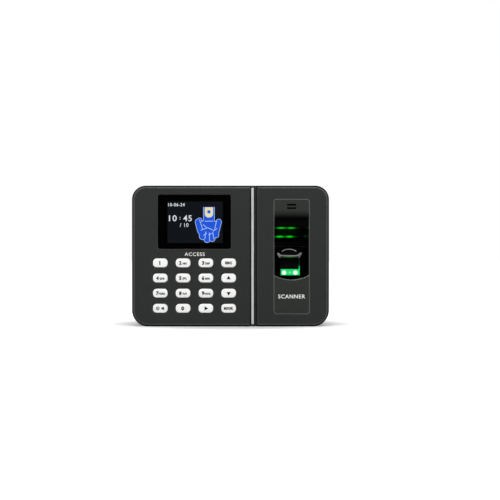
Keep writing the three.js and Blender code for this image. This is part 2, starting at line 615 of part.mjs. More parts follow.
function sensorPanel() {
  const plate = slab(
    roundedRect(PANEL_X, PANEL_Z, PANEL.width, PANEL.height, PANEL.corner),
    FACE_Y,
    FACE_Y + PANEL.thickness,
    { bevel: 0.4, segments: 3, bevelSegments: 1 },
  );
  const tub = recessSpace(RECESS.side, RECESS.wall).intersect(
    block([LEFT, FACE_Y + 0.6, 0], [RIGHT, BODY.depth, TOP]),
  );
  const slots = SLOT.fromTop.map((fromTop) => {
    const z = PANEL_TOP - fromTop;
    const shape = roundedRect(PANEL_X, z, SLOT.width, SLOT.height, SLOT.height / 2 - 0.05);
    return slab(shape, FACE_Y - 1, FACE_Y + PANEL.thickness + 1, { segments: 2 });
  });
  return cut(plate.add(tub), [recessSpace(0, 0), sensorWindow(), ...slots]);
}

/** Finger stop: a small tray with flared ears and an arched crown. */
function fingerStop() {
  const bottom = PANEL_BOTTOM + STOP.fromBottom;
  const shoulder = bottom + STOP.height;
  const half = STOP.width / 2;
  const archHalf = STOP.waist / 2 - 0.6;
  const shape = new THREE.Shape();
  shape.moveTo(PANEL_X - STOP.waist / 2, bottom);
  shape.lineTo(PANEL_X + STOP.waist / 2, bottom);
  shape.lineTo(PANEL_X + half, shoulder);
  shape.lineTo(PANEL_X + archHalf, shoulder);
  const arch = new THREE.EllipseCurve(PANEL_X, shoulder, archHalf, STOP.arch, 0, Math.PI);
  arch.getPoints(12).slice(1).forEach(({ x, y }) => shape.lineTo(x, y));
  shape.lineTo(PANEL_X - half, shoulder);
  shape.closePath();
  return slab(shape, RECESS_FLOOR_Y - CLEAR - STOP.depth, RECESS_FLOOR_Y - CLEAR);
}

function addSensor(group) {
  addPart(group, 'sensor_panel', sensorPanel(), 'gloss');
  addPart(group, 'finger_stop', fingerStop(), 'gloss');

  const frontY = RECESS_FLOOR_Y - GLASS.proud;
  const moduleY = RECESS_FLOOR_Y + RECESS.wall + CLEAR;
  const glassZ = PANEL_BOTTOM + GLASS.fromBottom;
  const halfGlass = GLASS.width / 2;
  const glass = block(
    [PANEL_X - halfGlass, frontY, glassZ],
    [PANEL_X + halfGlass, moduleY - CLEAR, glassZ + GLASS.height],
  );
  addPart(group, 'sensor_glass', glass, 'gloss');

  const lightZ = PANEL_BOTTOM + LIGHT.fromBottom;
  const edgeX = PANEL_X + halfGlass + CLEAR;
  const bar = block(
    [PANEL_X - LIGHT.width / 2, frontY + CLEAR, lightZ],
    [edgeX + LIGHT.edge, moduleY - CLEAR, lightZ + LIGHT.height],
  );
  const upright = block(
    [edgeX, frontY + CLEAR, lightZ],
    [edgeX + LIGHT.edge, moduleY - CLEAR, lightZ + LIGHT.height + LIGHT.edgeHeight - CLEAR],
  );
  addPart(group, 'light_guide', bar.add(upright), 'light');

  const moduleZ = PANEL_BOTTOM + MODULE.fromBottom;
  const moduleBox = (inset, y0, y1) => block(
    [PANEL_X - MODULE.width / 2 + inset, y0, moduleZ + inset],
    [PANEL_X + MODULE.width / 2 - inset, y1, moduleZ + MODULE.height - inset],
  );
  const aperture = block(
    [PANEL_X - halfGlass + 1, moduleY - 1, lightZ + 1],
    [PANEL_X + halfGlass - 1, moduleY + MODULE.wall + 1, glassZ + GLASS.height - 1],
  );
  const housing = cut(moduleBox(0, moduleY, moduleY + MODULE.depth), [
    moduleBox(MODULE.wall, moduleY + MODULE.wall, moduleY + MODULE.depth + 1),
    aperture,
  ]);
  addPart(group, 'sensor_housing', housing, 'rearPlastic');

  const boardY = moduleY + MODULE.depth + CLEAR;
  const board = block(
    [PANEL_X - MODULE.width / 2, boardY, moduleZ],
    [PANEL_X + MODULE.width / 2, boardY + BOARD, moduleZ + MODULE.boardHeight],
  );
  addPart(group, 'sensor_board', board, 'board');

  const barrelZ = glassZ + GLASS.height / 2;
  const barrelEnd = boardY - CLEAR;
  const barrel = join([
    rodY(PANEL_X, barrelZ, OPTIC.barrel, barrelEnd - OPTIC.length, barrelEnd),
    rodY(PANEL_X, barrelZ, OPTIC.rim, barrelEnd - OPTIC.rimLength, barrelEnd),
  ]);
  addPart(group, 'camera_barrel', barrel, 'rearPlastic');

  const ledZ = lightZ + LIGHT.height / 2;
  const led = block([-LED.width / 2, barrelEnd - LED.depth, -LED.height / 2], [LED.width / 2, barrelEnd, LED.height / 2]);
  addPart(group, 'led_left', led, 'key', [PANEL_X - LED.pitch / 2, 0, ledZ]);
  addPart(group, 'led_right', led, 'key', [PANEL_X + LED.pitch / 2, 0, ledZ]);

  const speakerZ = PANEL_TOP - (SLOT.fromTop[0] + SLOT.fromTop[1]) / 2;
  const speakerY = FACE_Y + PANEL.thickness + CLEAR;
  const speaker = slab(
    roundedRect(PANEL_X, speakerZ, SPEAKER.width, SPEAKER.height, 2),
    speakerY,
    speakerY + SPEAKER.depth,
    { segments: 2 },
  );
  addPart(group, 'speaker', speaker, 'steel');
}

// ---------------------------------------------------------------- electronics

function addMainBoard(group) {
  const board = block(
    [MAIN_LEFT, MAIN_FRONT_Y, MAIN_BOTTOM],
    [MAIN_LEFT + MAIN_BOARD.width, MAIN_BACK_Y, MAIN_BOTTOM + MAIN_BOARD.height],
  );
  const holes = boardScrewPlaces().map(([x, z]) => (
    rodY(x, z, BOARD_SCREW.radius + CLEAR, MAIN_FRONT_Y - 1, MAIN_BACK_Y + 1, 12)
  ));
  addPart(group, 'main_board', cut(board, holes), 'board');

  const [relayX, relayZ] = [MAIN_X + RELAY.x, MAIN_BOTTOM + RELAY.z];
  const relay = slab(roundedRect(relayX, relayZ, RELAY.width, RELAY.length, 1), PART_Y, PART_Y + RELAY.height, {
    segments: 1,
  });
  addPart(group, 'door_relay', relay, 'rearPlastic');

  const [coinX, coinZ] = [MAIN_X + COIN.x, MAIN_BOTTOM + COIN.z];
  const coinY = PART_Y + COIN.holderFloor + CLEAR;
  const pocket = COIN.radius + CLEAR;
  const holder = rodY(coinX, coinZ, pocket + COIN.holderWall, PART_Y, coinY + COIN.thickness - CLEAR, 24)
    .subtract(rodY(coinX, coinZ, pocket, PART_Y + COIN.holderFloor, coinY + COIN.thickness + 1, 24));
  addPart(group, 'coin_cell_holder', holder, 'rearPlastic');
  addPart(group, 'coin_cell', rodY(coinX, coinZ, COIN.radius, coinY, coinY + COIN.thickness, 24), 'steel');
}

function addConnectors(group) {
  const [netX, jackX] = [BAY_X + RJ45.offset, BAY_X + DC_JACK.offset];
  const rj45 = block(
    [netX - RJ45.width / 2, PART_Y, CONNECTOR_Z],
    [netX + RJ45.width / 2, PART_Y + RJ45.height, CONNECTOR_Z + RJ45.length],
  );
  const [mouthWidth, mouthHeight, mouthDepth] = RJ45.mouth;
  const mouthY = PART_Y + (RJ45.height - mouthHeight) / 2;
  const mouth = block(
    [netX - mouthWidth / 2, mouthY, CONNECTOR_Z - 1],
    [netX + mouthWidth / 2, mouthY + mouthHeight, CONNECTOR_Z + mouthDepth],
  );
  addPart(group, 'ethernet_jack', rj45.subtract(mouth), 'steel');

  const jack = block(
    [jackX - DC_JACK.width / 2, PART_Y, CONNECTOR_Z],
    [jackX + DC_JACK.width / 2, PART_Y + DC_JACK.height, CONNECTOR_Z + DC_JACK.length],
  );
  const boreY = PART_Y + DC_JACK.height / 2;
  const boreEnd = CONNECTOR_Z + DC_JACK.reach;
  const bored = jack.subtract(rodZ(jackX, boreY, DC_JACK.bore, CONNECTOR_Z - 1, boreEnd));
  const pin = rodZ(jackX, boreY, DC_JACK.pin, CONNECTOR_Z + 1, boreEnd + 0.5, 8);
  addPart(group, 'power_jack', bored.add(pin), 'rearPlastic');

  const blockWidth = TERMINALS.poles * TERMINALS.pitch;
  const firstX = BAY_X + TERMINALS.offset - blockWidth / 2;
  const entryY = PART_Y + TERMINALS.height / 2;
  const terminals = block(
    [firstX, PART_Y, CONNECTOR_Z],
    [firstX + blockWidth, PART_Y + TERMINALS.height, CONNECTOR_Z + TERMINALS.length],
  );
  const entries = Array.from({ length: TERMINALS.poles }, (_, pole) => {
    const x = firstX + (pole + 0.5) * TERMINALS.pitch;
    return block(
      [x - TERMINALS.entry, entryY - TERMINALS.entry, CONNECTOR_Z - 1],
      [x + TERMINALS.entry, entryY + TERMINALS.entry, CONNECTOR_Z + TERMINALS.length / 2],
    );
  });
  addPart(group, 'terminal_block', cut(terminals, entries), 'terminal');

  const usbZ = TOP - USB.fromTop;
  const usbX = LEFT + CLEAR;
  const shell = block(
    [usbX, PART_Y, usbZ - USB.width / 2],
    [usbX + USB.length, PART_Y + USB.height, usbZ + USB.width / 2],
  );
  const cavity = block(
    [usbX - 1, PART_Y + USB.shell, usbZ - USB.width / 2 + USB.shell],
    [usbX + USB.length - 1, PART_Y + USB.height - USB.shell, usbZ + USB.width / 2 - USB.shell],
  );
  const tongue = block(
    [usbX + 1, PART_Y + USB.shell + 1, usbZ - USB.width / 2 + 1.5],
    [usbX + USB.length - 0.5, PART_Y + USB.shell + 1 + USB.tongue, usbZ + USB.width / 2 - 1.5],
  );
  addPart(group, 'usb_port', shell.subtract(cavity).add(tongue), 'steel');
}

function addSwitches(group) {
  const [width, height, length] = RESET.body;
  const flangeZ = BAY_TOP_Z + BAY.wall + CLEAR;
  const flangeTop = flangeZ + RESET.flangeHeight;
  const button = join([
    rodZ(BAY_X + RESET.offset, resetY(), RESET.radius, BAY_TOP_Z - RESET.proud, flangeZ + 0.2),
    rodZ(BAY_X + RESET.offset, resetY(), RESET.flange, flangeZ, flangeTop),
  ]);
  addPart(group, 'reset_button', button, 'key');
  const switchZ = flangeTop + RESET.travel + CLEAR;
  const tact = block(
    [BAY_X + RESET.offset - width / 2, PART_Y, switchZ],
    [BAY_X + RESET.offset + width / 2, PART_Y + height, switchZ + length],
  );
  addPart(group, 'reset_switch', tact, 'rearPlastic');

  const [x, z] = [MAIN_X + TAMPER.x, MAIN_BOTTOM + TAMPER.z];
  const half = TAMPER.body / 2;
  const bodyEnd = PART_Y + TAMPER.bodyDepth;
  addPart(group, 'tamper_switch', block([x - half, PART_Y, z - half], [x + half, bodyEnd, z + half]), 'rearPlastic');
  const collarY = INNER_BACK_Y - CLEAR - TAMPER.collarLength;
  const plunger = join([
    rodY(x, z, TAMPER.radius, bodyEnd + TAMPER.travel + CLEAR, PLATE_FRONT_Y - CLEAR),
    rodY(x, z, TAMPER.collar, collarY, collarY + TAMPER.collarLength),
  ]);
  addPart(group, 'tamper_plunger', plunger, 'key');
}

/** Flat ribbon: a strip that follows a smooth curve through points, as a closed outline. */
function ribbonOutline(points, thickness) {
  const curve = new THREE.SplineCurve(points.map(([u, v]) => new THREE.Vector2(u, v)));
  const steps = 14;
  const side = (sign) => Array.from({ length: steps + 1 }, (_, index) => {
    const t = index / steps;
    const { x, y } = curve.getPoint(t);
    const tangent = curve.getTangent(t);
    return [x - sign * tangent.y * thickness / 2, y + sign * tangent.x * thickness / 2];
  });
  return [...side(1), ...side(-1).reverse()];
}

const RIBBON = 0.3;

function addRibbons(group) {
  const landing = MAIN_FRONT_Y - CLEAR - RIBBON / 2;
  const lcdBottom = SIGHT_Z - LCD.height / 2;
  const lcdY = BACKLIGHT_Y + LCD.backlight / 2;
  const lcdPath = [
    [lcdY, lcdBottom - CLEAR], [lcdY + 0.6, lcdBottom - 3], [(lcdY + landing) / 2, lcdBottom - 4.2],
    [landing - 0.8, lcdBottom - 1.5], [landing, lcdBottom + 3], [landing, lcdBottom + 8],
  ];
  const halfLcd = 10;
  addPart(group, 'lcd_flex', prismX(ribbonOutline(lcdPath, RIBBON), SIGHT_X - halfLcd, SIGHT_X + halfLcd), 'flex');

  const boardBack = KEY_BOARD_Y + BOARD + CLEAR + RIBBON / 2;
  const keyZ = MAIN_BOTTOM;
  const keyX = MAIN_LEFT + MAIN_BOARD.holeInset * 3;
  const keyPath = [
    [boardBack, keyZ - 5.5], [boardBack, keyZ - 2.5], [boardBack + 1.4, keyZ + 1],
    [(boardBack + landing) / 2, keyZ + 3.4], [landing - 0.6, keyZ + 6], [landing, keyZ + 10],
  ];
  addPart(group, 'keypad_flex', prismX(ribbonOutline(keyPath, RIBBON), keyX, keyX + 14), 'flex');

  const sensorBack = RECESS_FLOOR_Y + RECESS.wall + 2 * CLEAR + MODULE.depth + BOARD + CLEAR + RIBBON / 2;
  const boardEdge = MAIN_LEFT + MAIN_BOARD.width;
  const sensorEdge = PANEL_X - MODULE.width / 2;
  const path = [
    [sensorEdge + 5, sensorBack], [sensorEdge + 1, sensorBack], [(sensorEdge + boardEdge) / 2, sensorBack - 2],
    [boardEdge, PART_Y + 3], [boardEdge - 3, PART_Y + RIBBON], [boardEdge - 7, PART_Y + RIBBON / 2],
  ];
  const shape = new THREE.Shape(ribbonOutline(path, RIBBON).map(([x, y]) => new THREE.Vector2(x, y)));
  const strip = new THREE.ExtrudeGeometry(shape, { depth: 7, bevelEnabled: false });
  strip.translate(0, 0, PANEL_BOTTOM + MODULE.fromBottom + MODULE.boardHeight - 8);
  addPart(group, 'sensor_flex', solid(strip), 'flex');
}

// ---------------------------------------------------------------- wall bracket and fasteners

function addBracket(group) {
  const sheet = slab(
    roundedRect(0, PLATE_Z, PLATE.width, PLATE.height, PLATE.corner),
    PLATE_FRONT_Y,
    PLATE_REAR_Y,
    { segments: 3 },
  );
  const z = hookZ();
  const reachY = PLATE_FRONT_Y - HOOK.reach;
  const hooks = [-1, 1].flatMap((side) => {
    const [x0, x1] = [side * HOOK.pitch / 2 - HOOK.width / 2, side * HOOK.pitch / 2 + HOOK.width / 2];
    return [
      block([x0, reachY, z], [x1, PLATE_FRONT_Y + 0.5, z + PLATE.thickness]),
      block([x0, reachY, z], [x1, INNER_BACK_Y - CLEAR, z + PLATE.thickness + HOOK.lip]),
    ];
  });
  const tab = block(
    [-TAB.width / 2, PLATE_FRONT_Y - TAB.reach, PLATE.fromBottom],
    [TAB.width / 2, PLATE_FRONT_Y + 0.5, PLATE.fromBottom + PLATE.thickness],
  );
  const windowZ = BAY_TOP_Z - BAY.height / 2;
  const window = slab(
    roundedRect(BAY_X, windowZ, PLATE_WINDOW.width, PLATE_WINDOW.height, PLATE_WINDOW.corner),
    PLATE_FRONT_Y - 1,
    PLATE_REAR_Y + 1,
    { segments: 2 },
  );
  const [holeX, holeZ] = [PLATE.width / 2 - PLATE_HOLE.inset, PLATE.height / 2 - PLATE_HOLE.inset];
  const wallHoles = [[-1, -1], [1, -1], [-1, 1], [1, 1]].map(([sx, sz]) => (
    rodY(sx * holeX, PLATE_Z + sz * holeZ, PLATE_HOLE.radius, PLATE_FRONT_Y - 1, PLATE_REAR_Y + 1)
  ));
  const lockY = PLATE_FRONT_Y - TAB.reach / 2;
  const lockHole = rodZ(0, lockY, LOCK_SCREW.radius + CLEAR, PLATE.fromBottom - 1, PLATE.fromBottom + 3, 12);
  addPart(group, 'wall_plate', cut(join([sheet, ...hooks, tab]), [window, ...wallHoles, lockHole]), 'steel');

  const lock = screwSolid(LOCK_SCREW).rotate([-90, 0, 0]);
  addPart(group, 'lock_screw', lock, 'steel', [0, lockY, LOCK_SCREW.seat - CLEAR]);
}

function addFasteners(group) {
  const seatY = REAR_START_Y + CASE_SCREW.seat;
  caseScrewPlaces().forEach(([x, z], index) => {
    addPart(group, `case_screw_${index + 1}`, screwSolid(CASE_SCREW), 'steel', [x, seatY + CLEAR, z]);
  });
  const boardScrew = screwSolid(BOARD_SCREW).rotate([0, 0, 180]);
  boardScrewSites().forEach(([x, z], index) => {
    addPart(group, `board_screw_${index + 1}`, boardScrew, 'steel', [x, MAIN_FRONT_Y - CLEAR, z]);
  });
}

// ---------------------------------------------------------------- the terminal

const terminal = new THREE.Group();
for (const addUnit of [
  (group) => addPart(group, 'front_housing', frontHousing(), 'paint'),
  (group) => addPart(group, 'rear_housing', rearHousing(), 'rearPlastic'),
  addDisplay,
  addKeypad,
  addDivider,
  addSensor,
  addMainBoard,
  addConnectors,
  addSwitches,
  addRibbons,
  addBracket,
  addFasteners,
]) {
  const unit = new THREE.Group();
  addUnit(unit);
  terminal.add(unit);
}

export default terminal;
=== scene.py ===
"""Studio scene of a wall-mounted fingerprint terminal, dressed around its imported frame.

Every new piece is a surface worked out as whole arrays: rings of points joined into a grid, flat
regions between rings, and profiles carried along a path. Sizes are in millimetres until a piece
is finished, when they are turned into metres.
"""
import logging
import math
from dataclasses import dataclass, field
from enum import Enum
from typing import Callable, Sequence

import bmesh
import bpy
import numpy as np
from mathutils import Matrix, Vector
from mathutils.geometry import delaunay_2d_cdt


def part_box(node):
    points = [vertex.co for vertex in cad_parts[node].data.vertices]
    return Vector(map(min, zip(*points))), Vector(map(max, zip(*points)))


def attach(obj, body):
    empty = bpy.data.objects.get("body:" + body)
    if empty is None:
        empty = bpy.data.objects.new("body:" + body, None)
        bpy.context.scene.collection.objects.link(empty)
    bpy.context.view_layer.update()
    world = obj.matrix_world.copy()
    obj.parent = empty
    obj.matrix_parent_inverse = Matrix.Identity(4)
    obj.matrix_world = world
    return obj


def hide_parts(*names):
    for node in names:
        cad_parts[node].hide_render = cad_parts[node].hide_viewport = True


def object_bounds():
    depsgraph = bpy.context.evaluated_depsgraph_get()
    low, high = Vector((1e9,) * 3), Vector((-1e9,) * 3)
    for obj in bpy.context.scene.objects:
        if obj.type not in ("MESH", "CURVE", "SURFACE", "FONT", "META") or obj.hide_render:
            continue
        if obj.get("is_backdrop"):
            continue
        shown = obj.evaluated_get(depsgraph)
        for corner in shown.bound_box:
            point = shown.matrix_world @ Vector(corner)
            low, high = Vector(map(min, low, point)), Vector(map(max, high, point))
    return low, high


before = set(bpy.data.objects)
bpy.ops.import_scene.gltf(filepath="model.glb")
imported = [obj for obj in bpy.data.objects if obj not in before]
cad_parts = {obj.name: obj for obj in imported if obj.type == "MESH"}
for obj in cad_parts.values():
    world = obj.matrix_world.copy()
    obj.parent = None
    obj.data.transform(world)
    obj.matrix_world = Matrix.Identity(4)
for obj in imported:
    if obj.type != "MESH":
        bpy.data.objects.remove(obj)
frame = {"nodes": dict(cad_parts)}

LOG = logging.getLogger("terminal")
MM = 0.001
INK_THICKNESS = 0.04
CAD_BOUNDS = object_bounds()

Ring = np.ndarray
Level = tuple[Ring, float]
Outline = Callable[[float], Ring]
Corner = float | Sequence[float]
Ellipse = tuple[float, float, float, float, float]
Tree = bpy.types.NodeTree
Wire = bpy.types.NodeSocket
Material = bpy.types.Material
Mesh = bpy.types.Mesh
Piece = bpy.types.Object


# ------------------------------------------------------------------ shapes


class Axis(Enum):
    """Direction in which a ring's depth is counted; the ring lies in the other two."""

    X = (2, 0, 1)
    Y = (0, 2, 1)
    Z = (0, 1, 2)


@dataclass(frozen=True)
class Box:
    """Lowest and highest corners of a node of the frame, in millimetres."""

    x0: float
    y0: float
    z0: float
    x1: float
    y1: float
    z1: float

    @staticmethod
    def of(node: str) -> "Box":
        """Read a node's box from the frame.

        Args:
            node: Name of the node.

        Returns:
            Its box at rest.
        """
        low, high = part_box(node)
        return Box(*(value / MM for value in (*low, *high)))

    @property
    def x(self) -> float:
        """Middle of the box across."""
        return (self.x0 + self.x1) / 2

    @property
    def y(self) -> float:
        """Middle of the box in depth."""
        return (self.y0 + self.y1) / 2

    @property
    def z(self) -> float:
        """Middle of the box in height."""
        return (self.z0 + self.z1) / 2

    @property
    def width(self) -> float:
        """Size of the box across."""
        return self.x1 - self.x0

    def ring(self, inset: float, corner: Corner, steps: int) -> Ring:
        """Outline of the box seen from the front, drawn in by a distance."""
        return rounded(self.x0 + inset, self.x1 - inset, self.z0 + inset, self.z1 - inset, corner, steps)


def rounded(u0: float, u1: float, v0: float, v1: float, corner: Corner, steps: int = 8) -> Ring:
    """Rectangle with round corners: four quarter circles joined by straight sides.

    Args:
        u0: Left side.
        u1: Right side.
        v0: Lower side.
        v1: Upper side.
        corner: One radius, or four: lower left, lower right, upper right, upper left.
        steps: Steps of each quarter circle.

    Returns:
        Points of the ring, counter-clockwise.
    """
    radii = np.broadcast_to(np.asarray(corner, dtype=float), (4,))
    radii = np.maximum(radii, 0.01)
    centres = np.array([
        [u0 + radii[0], v0 + radii[0]],
        [u1 - radii[1], v0 + radii[1]],
        [u1 - radii[2], v1 - radii[2]],
        [u0 + radii[3], v1 - radii[3]],
    ])
    turn = np.linspace(0, math.pi / 2, steps + 1)
    angle = turn[None, :] + (math.pi + np.arange(4) * math.pi / 2)[:, None]
    offset = np.stack([np.cos(angle), np.sin(angle)], axis=-1) * radii[:, None, None]
    return (centres[:, None, :] + offset).reshape(-1, 2)


def circle(u: float, v: float, radius: float, steps: int = 32) -> Ring:
    """Circle as a ring of evenly spaced points.

    Args:
        u: Centre across.
        v: Centre up.
        radius: Radius.
        steps: Number of points.

    Returns:
        Points of the ring, counter-clockwise.
    """
    angle = np.arange(steps) * 2 * math.pi / steps
    return np.stack([u + radius * np.cos(angle), v + radius * np.sin(angle)], axis=-1)


def quarter(radius: float, steps: int = 4) -> np.ndarray:
    """Quarter round of an edge, as pairs of inset and drop below the top.

    The inset is radius times one minus the cosine, the drop radius times one minus the sine.

    Args:
        radius: Radius of the edge.
        steps: Steps of the arc.

    Returns:
        Pairs from the side of the edge up to its top.
    """
    angle = np.linspace(0, math.pi / 2, steps + 1)
    return np.stack([radius * (1 - np.cos(angle)), radius * (1 - np.sin(angle))], axis=-1)


def eased(ring: Outline, back: float, front: float, radius: float, steps: int = 4) -> list[Level]:
    """Levels of a straight wall whose front edge is a quarter round.

    Args:
        ring: Outline, drawn in by a distance.
        back: Depth of the back.
        front: Depth of the front.
        radius: Radius of the edge.
        steps: Steps of its arc.

    Returns:
        Rings with their depths, from back to front.
    """
    return [(ring(0.0), back)] + [(ring(inset), front + drop) for inset, drop in quarter(radius, steps)]


def inside(points: np.ndarray, ring: Ring) -> np.ndarray:
    """Even-odd test of many points against one ring.

    Args:
        points: Points to test.
        ring: Closed ring.

    Returns:
        True where a point lies inside.
    """
    u, v = points[:, 0][:, None], points[:, 1][:, None]
    a, b = ring, np.roll(ring, -1, axis=0)
    crosses = (a[:, 1] > v) != (b[:, 1] > v)
    rise = np.where(b[:, 1] == a[:, 1], 1.0, b[:, 1] - a[:, 1])
    at = a[:, 0] + (v - a[:, 1]) * (b[:, 0] - a[:, 0]) / rise
    return (crosses & (u < at)).sum(axis=1) % 2 == 1


@dataclass
class Shell:
    """A closed surface put together from ring walls, flat regions and grids."""

    axis: Axis = Axis.Y
    points: list[np.ndarray] = field(default_factory=list)
    faces: list[tuple[int, ...]] = field(default_factory=list)
    count: int = 0

    def place(self, ring: Ring, depth: float, axis: Axis | None = None) -> np.ndarray:
        """Put a flat ring into space at a depth along the shell's axis, or along another one."""
        flat = np.column_stack([ring, np.full(len(ring), depth)])
        return flat[:, list((axis or self.axis).value)]

    def grid(self, rows: np.ndarray, closed: bool = False) -> "Shell":
        """Join rows of points into quads.

        Args:
            rows: Array of rows by columns by three.
            closed: Whether the last column joins the first.

        Returns:
            The shell itself.
        """
        height, width = rows.shape[:2]
        index = np.arange(height * width).reshape(height, width) + self.count
        if closed:
            index = np.concatenate([index, index[:, :1]], axis=1)
        quads = np.stack([index[:-1, :-1], index[:-1, 1:], index[1:, 1:], index[1:, :-1]], axis=-1)
        self.points.append(rows.reshape(-1, 3))
        self.faces.extend(map(tuple, quads.reshape(-1, 4).tolist()))
        self.count += height * width
        return self

    def wall(self, levels: Sequence[Level], axis: Axis | None = None, closed: bool = True) -> "Shell":
        """Join rings at their depths into one wall, closed unless the rings are only parts."""
        return self.grid(np.stack([self.place(ring, depth, axis) for ring, depth in levels]), closed)

    def flat(self, depth: float, outer: Ring, holes: Sequence[Ring] = (),
             axis: Axis | None = None) -> "Shell":
        """Fill the flat region between an outer ring and its holes with triangles.

        Args:
            depth: Depth of the region along the axis.
            outer: Ring around the region.
            holes: Rings left open.
            axis: Axis of the region, where it isn't the shell's own.

        Returns:
            The shell itself.
        """
        rings = [outer, *holes]
        flat = np.concatenate(rings)
        edges, start = [], 0
        for ring in rings:
            ids = np.arange(len(ring)) + start
            edges.extend(zip(ids.tolist(), np.roll(ids, -1).tolist()))
            start += len(ring)
        found, _, triangles, *_ = delaunay_2d_cdt([Vector(p) for p in flat.tolist()], edges, [], 0, 1e-5)
        found = np.array([tuple(p) for p in found])
        triangles = np.array(triangles)
        centres = found[triangles].mean(axis=1)
        keep = inside(centres, outer)
        for hole in holes:
            keep &= ~inside(centres, hole)
        self.points.append(self.place(found, depth, axis))
        self.faces.extend(map(tuple, (triangles[keep] + self.count).tolist()))
        self.count += len(found)
        return self

    def solid(self, levels: Sequence[Level]) -> "Shell":
        """Close a wall of rings with a flat region at each end."""
        return self.wall(levels).flat(levels[0][1], levels[0][0]).flat(levels[-1][1], levels[-1][0])

    def mesh(self, name: str) -> Mesh:
        """Turn the gathered points and faces into a mesh in metres."""
        mesh = bpy.data.meshes.new(name)
        mesh.from_pydata((np.concatenate(self.points) * MM).tolist(), [], self.faces)
        return mesh

    def finish(self, name: str, material: Material, crease: float = 32.0) -> Piece:
        """Weld the parts, turn all faces outwards and make the object.

        Args:
            name: Name of the piece.
            material: Its finish.
            crease: Angle in degrees above which an edge stays sharp.

        Returns:
            The new object.
        """
        mesh = self.mesh(name)
        work = bmesh.new()
        work.from_mesh(mesh)
        bmesh.ops.remove_doubles(work, verts=work.verts, dist=0.002 * MM)
        bmesh.ops.dissolve_degenerate(work, edges=work.edges, dist=0.001 * MM)
        bmesh.ops.recalc_face_normals(work, faces=work.faces)
        work.to_mesh(mesh)
        work.free()
        mesh.shade_smooth()
        mesh.set_sharp_from_angle(angle=math.radians(crease))
        mesh.materials.append(material)
        piece = bpy.data.objects.new(name, mesh)
        bpy.context.scene.collection.objects.link(piece)
        weighted = piece.modifiers.new("even_normals", "WEIGHTED_NORMAL")
        weighted.keep_sharp = True
        return piece


def sweep(path: np.ndarray, radius: float, steps: int = 12, flatten: float = 1.0) -> np.ndarray:
    """Round section carried along a path in the XZ plane, tapering to nothing at both ends.

    Args:
        path: Points of the path.
        radius: Radius of the section.
        steps: Points around the section.
        flatten: Share of the radius kept in depth.

    Returns:
        Rows of points, one row for each point of the path.
    """
    tangent = np.gradient(path, axis=0)
    tangent /= np.linalg.norm(tangent, axis=1)[:, None]
    side = np.stack([-tangent[:, 2], np.zeros(len(path)), tangent[:, 0]], axis=-1)
    depth = np.array([0.0, -1.0, 0.0])
    angle = np.arange(steps) * 2 * math.pi / steps
    t = np.linspace(-1, 1, len(path))
    taper = np.sqrt(np.clip(1 - t ** 20, 0, 1))[:, None, None] * radius
    ring = np.cos(angle)[None, :, None] * side[:, None, :] + flatten * np.sin(angle)[None, :, None] * depth
    return path[:, None, :] + taper * ring


def dress(piece: Piece, body: str, slot: str, *nodes: str) -> Piece:
    """Say which body a piece rides on and the nodes it stands for.

    Args:
        piece: The finished piece.
        body: Body of the frame.
        slot: Material slot of the record; not used.
        *nodes: Nodes that it replaces.

    Returns:
        The piece.
    """
    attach(piece, body)
    if nodes:
        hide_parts(*nodes)
    LOG.info("%s rides on %s", piece.name, body)
    return piece


# ------------------------------------------------------------------ finishes


def linear(code: str) -> tuple[float, float, float, float]:
    """Turn an sRGB hex colour into linear light.

    Args:
        code: Six hex digits.

    Returns:
        Red, green, blue and full opacity.
    """
    value = np.array([int(code[i:i + 2], 16) for i in (0, 2, 4)]) / 255
    light = np.where(value <= 0.04045, value / 12.92, ((value + 0.055) / 1.055) ** 2.4)
    return (*light.tolist(), 1.0)


def add(tree: Tree, kind: str, links: dict | None = None, **settings: object) -> bpy.types.Node:
    """Add one node with its settings, socket values and incoming links.

    Args:
        tree: Node tree.
        kind: Type of node, without its ShaderNode prefix.
        links: Socket name or index to a value or to the output that feeds it.
        **settings: Properties of the node.

    Returns:
        The new node.
    """
    node = tree.nodes.new("ShaderNode" + kind)
    for name, value in settings.items():
        setattr(node, name, value)
    for socket, value in (links or {}).items():
        if isinstance(value, Wire):
            tree.links.new(value, node.inputs[socket])
        else:
            node.inputs[socket].default_value = value
    return node


def maths(tree: Tree, operation: str, *values: Wire | float) -> Wire:
    """Work out two numbers by one Math node and return its result."""
    return add(tree, "Math", dict(enumerate(values)), operation=operation).outputs[0]


def vector(tree: Tree, operation: str, *values: Wire | tuple[float, float, float]) -> Wire:
    """Work out vectors by one VectorMath node and return its result, a number for a length."""
    node = add(tree, "VectorMath", dict(enumerate(values)), operation=operation)
    return node.outputs["Value" if operation == "LENGTH" else "Vector"]


def blend(tree: Tree, share: Wire, first: object, second: object, kind: str = "RGBA") -> Wire:
    """Mix two colours, or two numbers with kind FLOAT, and return the result."""
    entry, exit_ = (6, 2) if kind == "RGBA" else (2, 0)
    return add(tree, "Mix", {0: share, entry: first, entry + 1: second}, data_type=kind).outputs[exit_]


def ramp(tree: Tree, value: Wire, source: Sequence[float], target: Sequence[float] = (0.0, 1.0),
         kind: str = "LINEAR") -> Wire:
    """Carry a number from one range to another, held at the target's ends.

    Args:
        tree: Node tree.
        value: Number to carry.
        source: First and last value of the range it comes from.
        target: First and last value of the range it goes to.
        kind: Interpolation between them.

    Returns:
        The carried number.
    """
    ends = dict(enumerate((value, *source, *target)))
    return add(tree, "MapRange", ends, interpolation_type=kind).outputs[0]


